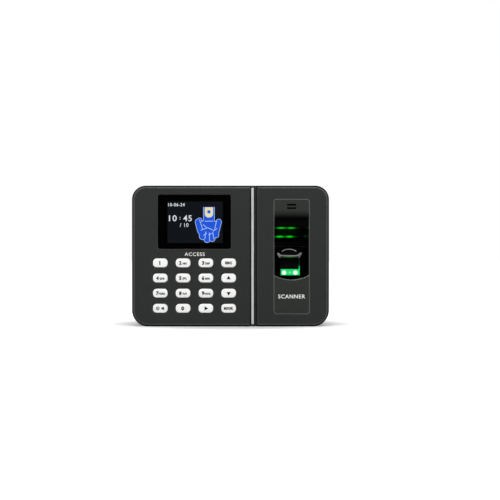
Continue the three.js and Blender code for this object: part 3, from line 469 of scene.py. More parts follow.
def spots(tree: Tree, place: Wire, ellipses: Sequence[Ellipse]) -> Wire:
    """Sum of soft ellipses: each falls smoothly from its strength in the middle to nothing at its rim.

    Args:
        tree: Node tree.
        place: Object coordinates in metres.
        ellipses: Middle across and in height, half sizes across and in height, strength.

    Returns:
        The summed strength.
    """
    total: Wire | float = 0.0
    for x, z, wide, tall, strength in ellipses:
        shifted = vector(tree, "SUBTRACT", place, (x * MM, 0, z * MM))
        scaled = vector(tree, "MULTIPLY", shifted, (1 / (wide * MM), 0, 1 / (tall * MM)))
        far = vector(tree, "LENGTH", scaled)
        near = ramp(tree, far, (0.0, 1.0), (strength, 0.0), "SMOOTHERSTEP")
        total = maths(tree, "ADD", total, near)
    return total


@dataclass(frozen=True)
class Grain:
    """Relief of a moulded, sprayed or brushed surface, as noise on Object coordinates."""

    size_mm: float
    depth_mm: float
    stretch: tuple[float, float, float] = (1.0, 1.0, 1.0)
    rough_swing: float = 0.06


@dataclass(frozen=True)
class Finish:
    """A real surface: colour, gloss and the fine relief that its making left, with painted reflections as
    emission where given.
    """

    name: str
    colour: str
    roughness: float
    metallic: float = 0.0
    specular: float = 0.5
    coat: float = 0.0
    tint: str | None = None
    blotch_mm: float = 18.0
    grain: Grain | None = None
    glow: tuple[str, float] | None = None
    # Colour and soft spots of painted reflections, shown as emission.
    light: str = "00e81c"
    painted_reflections: tuple[Ellipse, ...] = ()

    def shade(self, tree: Tree, place: Wire) -> dict:
        """Work out the linked sockets: slight blotches of tint, swing of gloss and grain.

        Args:
            tree: Node tree of the material.
            place: Object coordinates in metres.

        Returns:
            Socket names with the outputs that feed them.
        """
        links: dict = {
            "Metallic": self.metallic, "Specular IOR Level": self.specular, "Coat Weight": self.coat,
            "Roughness": self.roughness,
        }
        blotch = add(tree, "TexNoise", {"Vector": place, "Scale": 1 / (self.blotch_mm * MM), "Detail": 3.0})
        plain, tint = linear(self.colour), linear(self.tint or self.colour)
        links["Base Color"] = blend(tree, blotch.outputs[0], plain, tint)
        if self.grain:
            moved = add(tree, "Mapping", {"Vector": place, "Scale": self.grain.stretch})
            noise = add(tree, "TexNoise", {
                "Vector": moved.outputs[0], "Scale": 1 / (self.grain.size_mm * MM), "Detail": 2.0,
            })
            bump = add(tree, "Bump", {"Height": noise.outputs[0], "Distance": self.grain.depth_mm * MM})
            least, most = self.roughness - self.grain.rough_swing, self.roughness + self.grain.rough_swing
            links["Normal"] = bump.outputs[0]
            links["Roughness"] = ramp(tree, noise.outputs[0], (0.0, 1.0), (least, most))
        if self.glow:
            links["Emission Color"] = linear(self.glow[0])
            links["Emission Strength"] = self.glow[1]
        # Painted reflections: emission in soft spots where light from the lit guide shows on a glossy
        # surface.
        elif self.painted_reflections:
            links["Emission Color"] = linear(self.light)
            links["Emission Strength"] = spots(tree, place, self.painted_reflections)
        return links

    def build(self) -> Material:
        """Make the material once and reuse it afterwards.

        Returns:
            The material.
        """
        known = bpy.data.materials.get(self.name)
        if known:
            return known
        material = bpy.data.materials.new(self.name)
        material.use_nodes = True
        tree = material.node_tree
        tree.nodes.clear()
        place = add(tree, "TexCoord").outputs["Object"]
        skin = add(tree, "BsdfPrincipled", self.shade(tree, place))
        add(tree, "OutputMaterial", {"Surface": skin.outputs[0]})
        return material


@dataclass(frozen=True)
class PanelPaint(Finish):
    """Sprayed panel with a painted highlight as a lighter line round its edge and on its lower lip, and a
    colour that darkens down the plate into the near-black of the scoop.

    Everything sunk behind a depth turns near-black too, which is painted shade in the slots and sunk walls.
    The scoop carries painted reflections of the lit guide: green emission in soft spots up its curve.
    """

    face_mm: float = -17.2
    # Near-black of the scoop, and painted shade in the slots and on walls sunk behind the face.
    black_and_shade: str = "020202"
    bare_roughness: float = 0.3
    black_and_shade_behind_mm: tuple[float, float] = (1.2, 1.7)
    fade_mm: tuple[float, float] = (104.0, 95.5)
    # Painted highlight on the rounded edge of the lower lip.
    lip: str = "8c928c"
    lip_mm: float = 46.5
    lip_highlight_behind_mm: float = 0.04
    # Painted highlight: a lighter line along the panel's rounded edge.
    line: str = "5e605e"
    highlight_line_box: tuple[float, float, float, float, float] = (54.1, 62.05, 16.0, 51.05, 2.8)
    highlight_line_width_mm: float = 0.65
    highlight_line_behind_mm: float = 0.5

    def depth(self, behind: float) -> float:
        """Place of a depth behind the face, in metres."""
        return (self.face_mm + behind) * MM

    def on_highlight_line(self, tree: Tree, place: Wire) -> Wire:
        """Tell the band of painted highlight along the panel's edge, from the distance to a rectangle with
        round corners.
        """
        x, z, half_x, half_z, corner = self.highlight_line_box
        size = vector(tree, "ABSOLUTE", vector(tree, "SUBTRACT", place, (x * MM, 0, z * MM)))
        core = ((half_x - corner) * MM, 1.0, (half_z - corner) * MM)
        past = vector(tree, "MAXIMUM", vector(tree, "SUBTRACT", size, core), (0, 0, 0))
        far = vector(tree, "LENGTH", past)
        band = maths(tree, "GREATER_THAN", far, (corner - self.highlight_line_width_mm) * MM)
        y = add(tree, "SeparateXYZ", {0: place}).outputs[1]
        front = maths(tree, "LESS_THAN", y, self.depth(self.highlight_line_behind_mm))
        return maths(tree, "MULTIPLY", band, front)

    def shade(self, tree: Tree, place: Wire) -> dict:
        """Blend paint, the painted highlights of edge line and lip, and the near-black of scoop and painted
        shade by place, and add the painted reflections.
        """
        links = super().shade(tree, place)
        _, y, z = add(tree, "SeparateXYZ", {0: place}).outputs
        # Near-black by height over the scoop, and by depth as painted shade in the slots and sunk walls.
        high = ramp(tree, z, [value * MM for value in self.fade_mm], kind="SMOOTHSTEP")
        above = maths(tree, "GREATER_THAN", z, self.lip_mm * MM)
        scoop = maths(tree, "MULTIPLY", high, above)
        behind = ramp(tree, y, [self.depth(value) for value in self.black_and_shade_behind_mm])
        black_and_shade = maths(tree, "MAXIMUM", scoop, behind)
        # Painted highlight on the lower lip's rounded edge.
        sunk = maths(tree, "GREATER_THAN", y, self.depth(self.lip_highlight_behind_mm))
        low = maths(tree, "LESS_THAN", z, self.lip_mm * MM)
        edge = maths(tree, "MULTIPLY", sunk, low)
        light = blend(tree, edge, links["Base Color"], linear(self.lip))
        painted_shade = blend(tree, black_and_shade, light, linear(self.black_and_shade))
        # Painted highlight line along the panel's edge.
        links["Base Color"] = blend(tree, self.on_highlight_line(tree, place), painted_shade, linear(self.line))
        links["Roughness"] = blend(tree, black_and_shade, links["Roughness"], self.bare_roughness, "FLOAT")
        return links


@dataclass(frozen=True)
class CreasedPaint(Finish):
    """Sprayed paint with a painted highlight along its creases, and painted shade on the narrow steep band
    behind them and down the walls of the holes.
    """

    face_mm: float = -17.2
    # The crease colour is a painted highlight, the steep-band colour painted shade.
    painted_highlight: str = "585a58"
    painted_shade: str = "060706"
    crease_mm: tuple[float, float] = (0.03, 0.4)
    side_mm: float = 1.97

    def shade(self, tree: Tree, place: Wire) -> dict:
        """Choose between face, painted highlight on the crease and painted shade on the steep edge, by the
        depth behind the face.
        """
        links = super().shade(tree, place)
        depth = add(tree, "SeparateXYZ", {0: place}).outputs[1]
        near, far, side = ((self.face_mm + offset) * MM for offset in (*self.crease_mm, self.side_mm))
        behind = maths(tree, "GREATER_THAN", depth, near)
        past = maths(tree, "GREATER_THAN", depth, far)
        before = maths(tree, "LESS_THAN", depth, side)
        # Painted shade on the steep band and the hole walls behind the crease; painted highlight on the
        # crease itself.
        steep = maths(tree, "MULTIPLY", past, before)
        highlighted = maths(tree, "MULTIPLY", behind, before)
        crease = blend(tree, highlighted, links["Base Color"], linear(self.painted_highlight))
        links["Base Color"] = blend(tree, steep, crease, linear(self.painted_shade))
        return links


@dataclass(frozen=True)
class LitGuide(Finish):
    """Clear acrylic lit from two diodes: an even green with a white-hot spot before each."""

    hot_spots: tuple[Ellipse, ...] = ()
    even: float = 0.8
    hot: float = 1.3
    white_hot: str = "f4fff4"
    fade_mm: tuple[float, float] = (50.8, 54.5)
    faded: float = 0.02

    def shade(self, tree: Tree, place: Wire) -> dict:
        """Whiten and strengthen the glow in the spots, and let it die away up the upright."""
        links = super().shade(tree, place)
        total = spots(tree, place, self.hot_spots)
        power = ramp(tree, total, (0.0, 1.0), (self.even, self.hot))
        height = add(tree, "SeparateXYZ", {0: place}).outputs[2]
        left = ramp(tree, height, [value * MM for value in self.fade_mm], (1.0, self.faded))
        links["Emission Color"] = blend(tree, total, linear(self.glow[0]), linear(self.white_hot))
        links["Emission Strength"] = maths(tree, "MULTIPLY", power, left)
        return links


@dataclass(frozen=True)
class GapShadedCap(Finish):
    """White cap whose sides turn black at a depth behind the front: painted shade in the gap round the cap.
    """

    # Painted shade: the cap's sides turn black where they sink into the gap round it.
    gap_shade: str = "0a0a0a"
    gap_shade_from_mm: float = -17.0

    def shade(self, tree: Tree, place: Wire) -> dict:
        """Turn the colour black behind a depth, as painted shade on the cap's sides."""
        links = super().shade(tree, place)
        depth = add(tree, "SeparateXYZ", {0: place}).outputs[1]
        behind = maths(tree, "GREATER_THAN", depth, self.gap_shade_from_mm * MM)
        links["Base Color"] = blend(tree, behind, links["Base Color"], linear(self.gap_shade))
        return links


# Two-coat gunmetal paint sprayed over moulded ABS: dark grey, satin, faint metallic flake, with a painted
# highlight along the creases of its edges and painted shade on the steep band behind them and down the walls
# of the holes.
GUNMETAL = CreasedPaint("sprayed_gunmetal_paint", "2e302f", 0.5, specular=0.1, tint="2b2d2c",
                        grain=Grain(1.1, 0.02, rough_swing=0.04))
# The same paint on the sensor panel, with painted highlights along its edge and lip, a plate that darkens
# into the near-black of the scoop, painted shade in the slots and sunk walls, and painted reflections of the
# lit guide.
PANEL_PAINT = PanelPaint(
    "gunmetal_paint_with_painted_light", "323432", 0.5, specular=0.03, tint="2f312f",
    grain=Grain(1.1, 0.02, rough_swing=0.04),
    # Painted reflections of the lit guide up the scoop and on its right wall, as green emission.
    painted_reflections=(
        (45.3, 87.5, 6.0, 0.95, 0.78), (54.2, 87.5, 5.2, 0.95, 0.8), (49.0, 87.5, 17.0, 0.85, 0.16),
        (44.8, 80.1, 5.6, 1.25, 0.78), (53.8, 80.1, 5.2, 1.25, 0.8), (49.0, 80.1, 17.0, 1.1, 0.16),
        (50.5, 84.5, 17.0, 9.0, 0.006), (68.0, 80.5, 2.4, 1.5, 0.05), (68.5, 87.5, 2.0, 1.2, 0.03),
    ),
)
# Spark-eroded black ABS of the back shell: coarse, dull grain.
BACK_ABS = Finish("eroded_black_abs", "222322", 0.62, tint="1d1e1d", grain=Grain(0.9, 0.05, rough_swing=0.08))
# Polished black ABS of the finger stop, with a painted reflection of green light from the lit guide on its
# lower edge, shown as emission.
STOP_BODY = Finish("polished_black_stop", "050505", 0.12, specular=0.3, tint="030303",
                   painted_reflections=((53.0, 61.6, 9.5, 0.9, 0.14),))
# Acrylic lens with a border printed in black behind it: a deep, even gloss.
PRINTED_ACRYLIC = Finish("back_printed_acrylic", "020202", 0.06, specular=0.12, tint="010101")
# Lit picture of the display: grey-white text, and a hand in two blues with a cream cuff.
LIT_TEXT = Finish("lit_cell_text", "101010", 0.2, specular=0.1, glow=("d9dde2", 1.0))
LIT_BLUE = Finish("lit_cell_blue", "040a20", 0.2, specular=0.1, glow=("2456d6", 1.0))
LIT_EDGE = Finish("lit_cell_edge", "080c18", 0.2, specular=0.1, glow=("a4c2f6", 1.0))
LIT_CREAM = Finish("lit_cell_cream", "101008", 0.2, specular=0.1, glow=("e3dcb4", 1.0))
# Liquid crystal cell under bonded acrylic, lit from behind: a dark slate glow.
LIT_CELL = Finish("lit_liquid_crystal", "050608", 0.15, specular=0.12, glow=("101318", 0.8))
# Dark optical glass over a black chamber, faintly green at its edges.
PRISM_GLASS = Finish("dark_prism_glass", "020403", 0.05, specular=0.12, tint="010302")
# Matt white ABS of the keys, its sides turned black as painted shade in the gap round each key.
CAP_WHITE = GapShadedCap("moulded_white_abs", "f5f5f3", 0.45, tint="efefed", blotch_mm=9,
                   grain=Grain(0.7, 0.01))
# Pad-printed ink of the legends on the keys.
INK = Finish("pad_print_ink", "0c0c0c", 0.6, specular=0.2, tint="121212")
# White screen-printed ink of the lettering on the face.
WHITE_INK = Finish("screen_print_ink", "f2f2f0", 0.5, tint="e8e8e6")
# Hot-stamped satin silver foil on the divider strip, brushed along its length.
SATIN_FOIL = Finish("brushed_silver_foil", "cdd1d2", 0.4, 0.3, tint="c2c7c8",
                    grain=Grain(0.5, 0.01, stretch=(1.0, 1.0, 0.05)))
# Light grey ridges on the finger stop: the shape of its rim and arch, with their grey a painted highlight.
STOP_RIDGE = Finish("stop_ridge_painted_highlight", "909392", 0.35, 0.1, tint="7c7f7e", grain=Grain(0.8, 0.01))
# Satin dark grey rib at the foot of the scoop, lighter than the black around it.
LEDGE = Finish("satin_black_rib", "343534", 0.35, specular=0.2, tint="2c2d2c", grain=Grain(0.8, 0.01))
# Clear acrylic light guide in front of two green diodes.
GUIDE = LitGuide("green_lit_acrylic", "0c3018", 0.12, specular=0.2, glow=("20f07c", 1.0),
                 hot_spots=((49.2, 47.2, 2.9, 2.8, 1.7), (59.6, 47.2, 3.1, 2.8, 1.7),
                            (54.4, 47.3, 1.0, 1.6, 0.4)))
# Galvanised sheet steel: bright, cool grey with soft spangle.
ZINC = Finish("galvanised_sheet_steel", "a9adb0", 0.42, 0.9, tint="8f9498", blotch_mm=7,
              grain=Grain(1.6, 0.02))
# Nickel-plated steel of the screws.
NICKEL = Finish("nickel_plated_steel", "b9b6ae", 0.28, 1.0, tint="a8a59d", grain=Grain(0.6, 0.01))
# Tinned steel shells of the sockets.
TINPLATE = Finish("tinned_steel_shell", "b4b6b5", 0.33, 1.0, tint="a2a4a3", grain=Grain(0.9, 0.01))
# Glass-filled nylon of sockets and carriers.
BLACK_NYLON = Finish("glass_filled_black_nylon", "1c1c1d", 0.5, tint="232324", grain=Grain(0.5, 0.02))
# Green nylon of the wire terminals.
GREEN_NYLON = Finish("green_moulded_nylon", "2d8a4a", 0.5, tint="267c40", grain=Grain(0.6, 0.02))
# Green solder mask over copper on glass-epoxy board.
SOLDER_MASK = Finish("green_solder_mask", "1f5a35", 0.35, coat=0.3, tint="2a7045", blotch_mm=4,
                     grain=Grain(2.5, 0.03))
# Grey translucent silicone of the key mat.
SILICONE = Finish("grey_silicone_rubber", "9a9c9a", 0.8, tint="8e908e", grain=Grain(1.5, 0.02))
# Amber polyimide film of the ribbons.
POLYIMIDE = Finish("amber_polyimide_film", "b8782a", 0.4, tint="a86a20",
                   grain=Grain(1.2, 0.01, stretch=(0.1, 1, 1)))
# Black closed-cell foam of the gasket.
FOAM = Finish("black_closed_cell_foam", "161616", 0.95, tint="1e1e1e", grain=Grain(0.8, 0.08))
# White acetal of plunger and reset button.
ACETAL = Finish("white_moulded_acetal", "d9d9d4", 0.4, tint="d0d0cb", grain=Grain(0.8, 0.01))
# Gold-plated spring contacts.
GOLD = Finish("gold_plated_contact", "c79a3c", 0.25, 1.0, tint="b88a30", grain=Grain(0.4, 0.005))
# Glass of the liquid crystal cell, dark when unlit.
CELL_GLASS = Finish("liquid_crystal_glass", "11151a", 0.08, coat=0.5, tint="0d1116", grain=Grain(6.0, 0.002))
# Black anodised aluminium of the lens barrel.
ANODISED = Finish("black_anodised_aluminium", "18191b", 0.35, 0.8, tint="222326", grain=Grain(0.4, 0.01))
# Coated paper and steel basket of the loudspeaker.
SPEAKER_CONE = Finish("coated_paper_cone", "1b1b1c", 0.7, tint="262627", grain=Grain(0.6, 0.04))
# Blue polyester case of the relay.
RELAY_BLUE = Finish("blue_polyester_case", "1f5fae", 0.4, tint="1b559d", grain=Grain(0.7, 0.01))
# Pale diode package with a yellow-green phosphor dot.
DIODE = Finish("diode_package", "dfe6d8", 0.4, tint="cdd9bd", blotch_mm=1.5, grain=Grain(0.5, 0.01))


# ------------------------------------------------------------------ lettering and signs


def lettering(text: str, height: float, x: float, z: float, y: float, bold: float = 0.0,
              width: float = 0.0, thickness: float = INK_THICKNESS) -> Mesh:
    """Raised ink letters that face forwards, as a mesh in place.

    Args:
        text: Generic words or numbers.
        height: Height of a capital, in millimetres.
        x: Middle of the text across.
        z: Middle of the text in height.
        y: Depth of the surface that carries it.
        bold: Outward offset of the outlines, in millimetres.
        width: Width of the whole text, or zero for the natural one.
        thickness: Thickness of the ink.

    Returns:
        The mesh, with its place in its vertices.
    """
    cap_share = 0.69  # height of a capital in the built-in face, as a share of its size
    curve = bpy.data.curves.new("ink", "FONT")
    curve.body = text
    curve.size = height / cap_share * MM
    curve.offset = bold * MM
    curve.extrude = thickness / 2 * MM
    curve.resolution_u = 3
    curve.space_character = 1.12
    holder = bpy.data.objects.new("ink", curve)
    bpy.context.scene.collection.objects.link(holder)
    mesh = bpy.data.meshes.new_from_object(holder)
    bpy.data.objects.remove(holder)
    flat = np.empty(len(mesh.vertices) * 3)
    mesh.vertices.foreach_get("co", flat)
    flat = flat.reshape(-1, 3)
    middle = (flat.max(axis=0) + flat.min(axis=0)) / 2
    flat = flat - middle
    stretch = width * MM / (2 * flat[:, 0].max()) if width else 1.0
    placed = np.column_stack([flat[:, 0] * stretch + x * MM, y * MM - flat[:, 2], flat[:, 1] + z * MM])
    mesh.vertices.foreach_set("co", placed.ravel())
    mesh.update()
    return mesh


def prism(ring: Ring, y: float, thickness: float = INK_THICKNESS) -> Mesh:
    """Flat sign of even thickness with a given outline, centred on a depth.

    Args:
        ring: Outline.
        y: Depth of its middle.
        thickness: Thickness of the ink.

    Returns:
        The mesh.
    """
    return Shell().solid([(ring, y - thickness / 2), (ring, y + thickness / 2)]).mesh("sign")


def ring_sign(x: float, z: float, radius: float, width: float, y: float) -> Mesh:
    """Flat annulus, as on a power or home sign."""
    outer, inner = circle(x, z, radius, 20), circle(x, z, radius - width, 20)
    back, front = y - INK_THICKNESS / 2, y + INK_THICKNESS / 2
    shell = Shell().flat(back, outer, [inner]).flat(front, outer, [inner])
    return shell.wall([(outer, back), (outer, front)]).wall([(inner, back), (inner, front)]).mesh("sign")


def gather(name: str, meshes: Sequence[Mesh], material: Material) -> Piece:
    """Join meshes into one piece, weld them and turn their faces outwards.

    Args:
        name: Name of the piece.
        meshes: Meshes with their places in their vertices.
        material: Finish of the piece.

    Returns:
        The piece.
    """
    work = bmesh.new()
    for mesh in meshes:
        work.from_mesh(mesh)
        bpy.data.meshes.remove(mesh)
    bmesh.ops.remove_doubles(work, verts=work.verts, dist=0.001 * MM)
    bmesh.ops.recalc_face_normals(work, faces=work.faces)
    joined = bpy.data.meshes.new(name)
    work.to_mesh(joined)
    work.free()
    joined.materials.clear()
    joined.materials.append(material)
    piece = bpy.data.objects.new(name, joined)
    bpy.context.scene.collection.objects.link(piece)
    return piece


def triangle(x: float, z: float, size: float, heading: float) -> Ring:
    """Equal-sided triangle that points along a heading in degrees, counter-clockwise."""
    angle = np.radians(heading + np.array([0.0, 120.0, 240.0]))
    return np.stack([x + size * np.cos(angle), z + size * np.sin(angle)], axis=-1)


def capsule(x: float, z: float, length: float, radius: float, heading: float, steps: int = 8) -> Ring:
    """Bar with round ends that runs from a root along a heading in degrees."""
    along = np.radians(heading)
    unit = np.array([math.cos(along), math.sin(along)])
    far = np.linspace(-math.pi / 2, math.pi / 2, steps + 1) + along
    near = far + math.pi
    tip = np.array([x, z]) + unit * length
    head = tip + radius * np.stack([np.cos(far), np.sin(far)], axis=-1)
    root = np.array([x, z]) + radius * np.stack([np.cos(near), np.sin(near)], axis=-1)
    return np.concatenate([head, root])


# ------------------------------------------------------------------ front housing


KEY_WIDTH, KEY_HEIGHT, KEY_CORNER = 13.0, 7.9, 3.3


def key_outline(box: Box, inset: float) -> Ring:
    """Outline of a key's cap, drawn in by a distance."""
    half_x, half_z = KEY_WIDTH / 2 - inset, KEY_HEIGHT / 2 - inset
    return rounded(box.x - half_x, box.x + half_x, box.z - half_z, box.z + half_z, KEY_CORNER - inset, 6)


@dataclass
class FrontHousing:
    """Painted front: a tray with two raised faces, parted by the channel of the silver strip."""

    body: Box
    panel: Box
    lens: Box
    strip: Box
    keys: dict[str, Box]
    corner_top: float = 12.3
    corner_bottom: float = 14.4
    step: float = 2.0
    wall: float = 2.2
    skin: float = 2.6
    channel_width: float = 6.0
    strip_margin: float = 1.3
    channel_corner: float = 0.4
    left_share: float = 0.12
    right_share: float = 0.42
    key_gap: float = 0.8
    key_rim: float = 0.3
    lens_corner: float = 2.1
    lens_rim: float = 0.25
    panel_corner: float = 3.1
    panel_rim: float = 0.2
    clear: float = 0.3
    overlap: float = 0.04
    steps: int = 16
    profile: tuple[tuple[float, float], ...] = (
        (0.01, 2.04), (0.03, 1.75), (0.14, 1.42), (0.36, 1.16), (1.45, 0.56), (1.68, 0.44),
        (1.86, 0.34), (2.3, 0.07), (2.46, 0.015), (2.6, 0.0),
    )
    back_edge: tuple[tuple[float, float], ...] = ((0.35, 0.0), (0.1, 0.1), (0.0, 0.35))

    @property
    def face(self) -> float:
        """Depth of the painted face."""
        return self.panel.y0

    def outline(self, inset: float) -> Ring:
        """Outline of the whole front, drawn in by a distance."""
        low, high = self.corner_bottom - inset, self.corner_top - inset
        return self.body.ring(inset, (low, low, high, high), self.steps)

    def left_outline(self, inset: float, channel: float) -> Ring:
        """Outline of the left face: round outer corners, square ones at the channel."""
        low, high, square = self.corner_bottom - inset, self.corner_top - inset, self.channel_corner
        b, edge = self.body, self.strip.x0 - self.strip_margin - channel
        corners_here = (low, square, square, high)
        return rounded(b.x0 + inset, edge, b.z0 + inset, b.z1 - inset, corners_here, self.steps)

    def right_outline(self, inset: float, channel: float) -> Ring:
        """Outline of the right face, mirrored in the same way."""
        low, high, square = self.corner_bottom - inset, self.corner_top - inset, self.channel_corner
        b, edge = self.body, self.strip.x0 - self.strip_margin + self.channel_width + channel
        corners_here = (square, low, high, square)
        return rounded(edge, b.x1 - inset, b.z0 + inset, b.z1 - inset, corners_here, self.steps)

    def rim(self, outline: Callable[[float, float], Ring], channel_share: float) -> list[Level]:
        """Edge of a raised face: a steep outer band, then a shallow band up to the crease.

        The pairs are inset and drop; on the channel side only a share of the inset is used.
        """
        return [(outline(inset, inset * channel_share), self.face + drop) for inset, drop in self.profile]

    def key_hole(self, box: Box) -> Outline:
        """Ring of a key's hole, which grows by a distance."""
        return lambda grow: key_outline(box, -self.key_gap - grow)

    def around(self, box: Box, corner: float) -> Outline:
        """Ring round a box with the usual clearance, which grows by a distance."""
        return lambda grow: box.ring(-self.clear - grow, corner + grow, 6)

    def build(self) -> Piece:
        """Make tray and raised faces as one piece.

        Returns:
            The finished housing.
        """
        shelf = self.face + self.step
        back = shelf + self.overlap
        left_holes = [eased(self.key_hole(box), back, self.face, self.key_rim) for box in self.keys.values()]
        left_holes.append(eased(self.around(self.lens, self.lens_corner), back, self.face, self.lens_rim))
        right_holes = [eased(self.around(self.panel, self.panel_corner), back, self.face, self.panel_rim)]
        shell = Shell()
        for outline, share, holes in (
            (self.left_outline, self.left_share, left_holes),
            (self.right_outline, self.right_share, right_holes),
        ):
            levels = self.rim(outline, share)
            shell.wall(levels)
            shell.flat(levels[-1][1], levels[-1][0], [hole[-1][0] for hole in holes])
            shell.flat(back, levels[0][0], [hole[0][0] for hole in holes])
            for hole in holes:
                shell.wall(hole)
        self.tray(shell, shelf, [hole[0][0] for hole in (*left_holes, *right_holes)])
        piece = shell.finish("front_housing_shell", GUNMETAL.build())
        return dress(piece, "housing", "front_paint", "front_housing")

    def tray(self, shell: Shell, shelf: float, holes: Sequence[Ring]) -> None:
        """Add the tray behind the raised faces: side wall, channel floor, back of the face."""
        inner = self.face + self.skin
        end = self.body.y1
        outer = [(self.outline(inset), end - drop) for inset, drop in self.back_edge]
        outer.append((self.outline(0.0), shelf))
        inside_wall = [(self.outline(self.wall), inner), (self.outline(self.wall), end), outer[0]]
        shell.wall(outer).flat(shelf, outer[-1][0], holes)
        shell.flat(inner, inside_wall[0][0], holes).wall(inside_wall)
        for ring in holes:
            shell.wall([(ring, shelf), (ring, inner)])


@dataclass
class Divider:
    """Silver strip that stands in the channel between the two faces."""

    strip: Box
    edge: float = 0.35
    corner: float = 0.5

    def build(self) -> Piece:
        """Make the strip: a bar with rounded front edges.

        Returns:
            The strip.
        """
        s = self.strip
        levels = eased(lambda inset: s.ring(inset, self.corner - inset / 2, 4), s.y1, s.y0, self.edge)
        piece = Shell().solid(levels).finish("silver_strip", SATIN_FOIL.build())
        return dress(piece, "housing", "satin_metal", "divider_strip")


# ------------------------------------------------------------------ keypad


@dataclass(frozen=True)
class Letters:
    """Size of print in millimetres: height of a capital, outward offset, room for one letter."""

    height: float
    bold: float
    pitch: float = 0.0


DIGIT = Letters(3.0, 0.28)
DIGIT_BESIDE = Letters(2.9, 0.24)
SMALL_LETTERS = Letters(1.6, 0.16, 1.4)
KEY_WORD = Letters(2.1, 0.22, 2.05)
POINTER_SIZE = 2.1


@dataclass(frozen=True)
class Legend:
    """Print of one key: a large sign, small letters beside it, a pointer or a home ring."""

    big: str = ""
    small: str = ""
    pointer: float | None = None
    home: bool = False

    def meshes(self, x: float, z: float, y: float) -> list[Mesh]:
        """Ink of the legend.

        Args:
            x: Middle of the key across.
            z: Middle of the key in height.
            y: Depth of the middle of the ink.

        Returns:
            One mesh for each sign.
        """
        if self.home:
            bars = [prism(capsule(x - 2.5, z + lift, 0.6, 0.25, 0.0), y) for lift in (-0.35, 0.35)]
            arrow = prism(triangle(x + 2.4, z, 1.9, self.pointer), y)
            return [ring_sign(x - 2.2, z, 1.6, 0.6, y), *bars, arrow]
        if self.pointer is not None:
            return [prism(triangle(x, z, POINTER_SIZE, self.pointer), y)]
        if self.small:
            room = SMALL_LETTERS.pitch * len(self.small)
            return [
                lettering(self.big, DIGIT_BESIDE.height, x - 2.4, z, y, DIGIT_BESIDE.bold),
                lettering(self.small, SMALL_LETTERS.height, x + 1.5, z - 0.5, y, SMALL_LETTERS.bold, room),
            ]
        if len(self.big) == 1:
            return [lettering(self.big, DIGIT.height, x - 0.3, z, y, DIGIT.bold)]
        return [lettering(self.big, KEY_WORD.height, x, z, y, KEY_WORD.bold, KEY_WORD.pitch * len(self.big))]


LEGENDS = {
    "key_1": Legend("1"), "key_2": Legend("2", "ABC"), "key_3": Legend("3", "DEF"),
    "key_escape": Legend("ESC"),
    "key_4": Legend("4", "GHI"), "key_5": Legend("5", "JKL"), "key_6": Legend("6", "MNO"),
    "key_up": Legend(pointer=90.0),
    "key_7": Legend("7", "PQRS"), "key_8": Legend("8", "TUV"), "key_9": Legend("9", "WXYZ"),
    "key_down": Legend(pointer=-90.0),
    "key_left": Legend(pointer=180.0, home=True), "key_0": Legend("0"), "key_right": Legend(pointer=0.0),
    "key_menu": Legend("M/OK"),
}


@dataclass
class Keypad:
    """Sixteen white caps with painted shade down their sides, each with its own print."""

    keys: dict[str, Box]
    rounding: float = 0.9
    flange_corner: float = 4.4
    flange: float = 0.8
    crown_drop: float = 0.08
    crown: tuple[tuple[float, float], ...] = ((1.4, 0.04), (2.2, 0.02))

    def cap(self, name: str, box: Box) -> None:
        """Make one cap with its flange and its ink.

        Args:
            name: Node and body of the key.
            box: Box of the key.
        """
        foot = box.ring(0.0, self.flange_corner, 6)
        step, top = box.y1 - self.flange, box.y0 + self.crown_drop
        levels = [(foot, box.y1), (foot, step), (key_outline(box, 0.0), step)]
        levels += [(key_outline(box, inset), top + drop) for inset, drop in quarter(self.rounding)]
        levels += [(key_outline(box, inset), box.y0 + drop) for inset, drop in self.crown]
        piece = Shell().solid(levels).finish(f"{name}_cap", CAP_WHITE.build())
        dress(piece, name, "key_plastic", name)
        signs = LEGENDS[name].meshes(box.x, box.z, box.y0 + INK_THICKNESS / 2)
        ink = gather(f"{name}_print", signs, INK.build())
        dress(ink, name, "key_plastic")

    def build(self) -> None:
        """Make all caps."""
        for name, box in self.keys.items():
            self.cap(name, box)


# ------------------------------------------------------------------ display


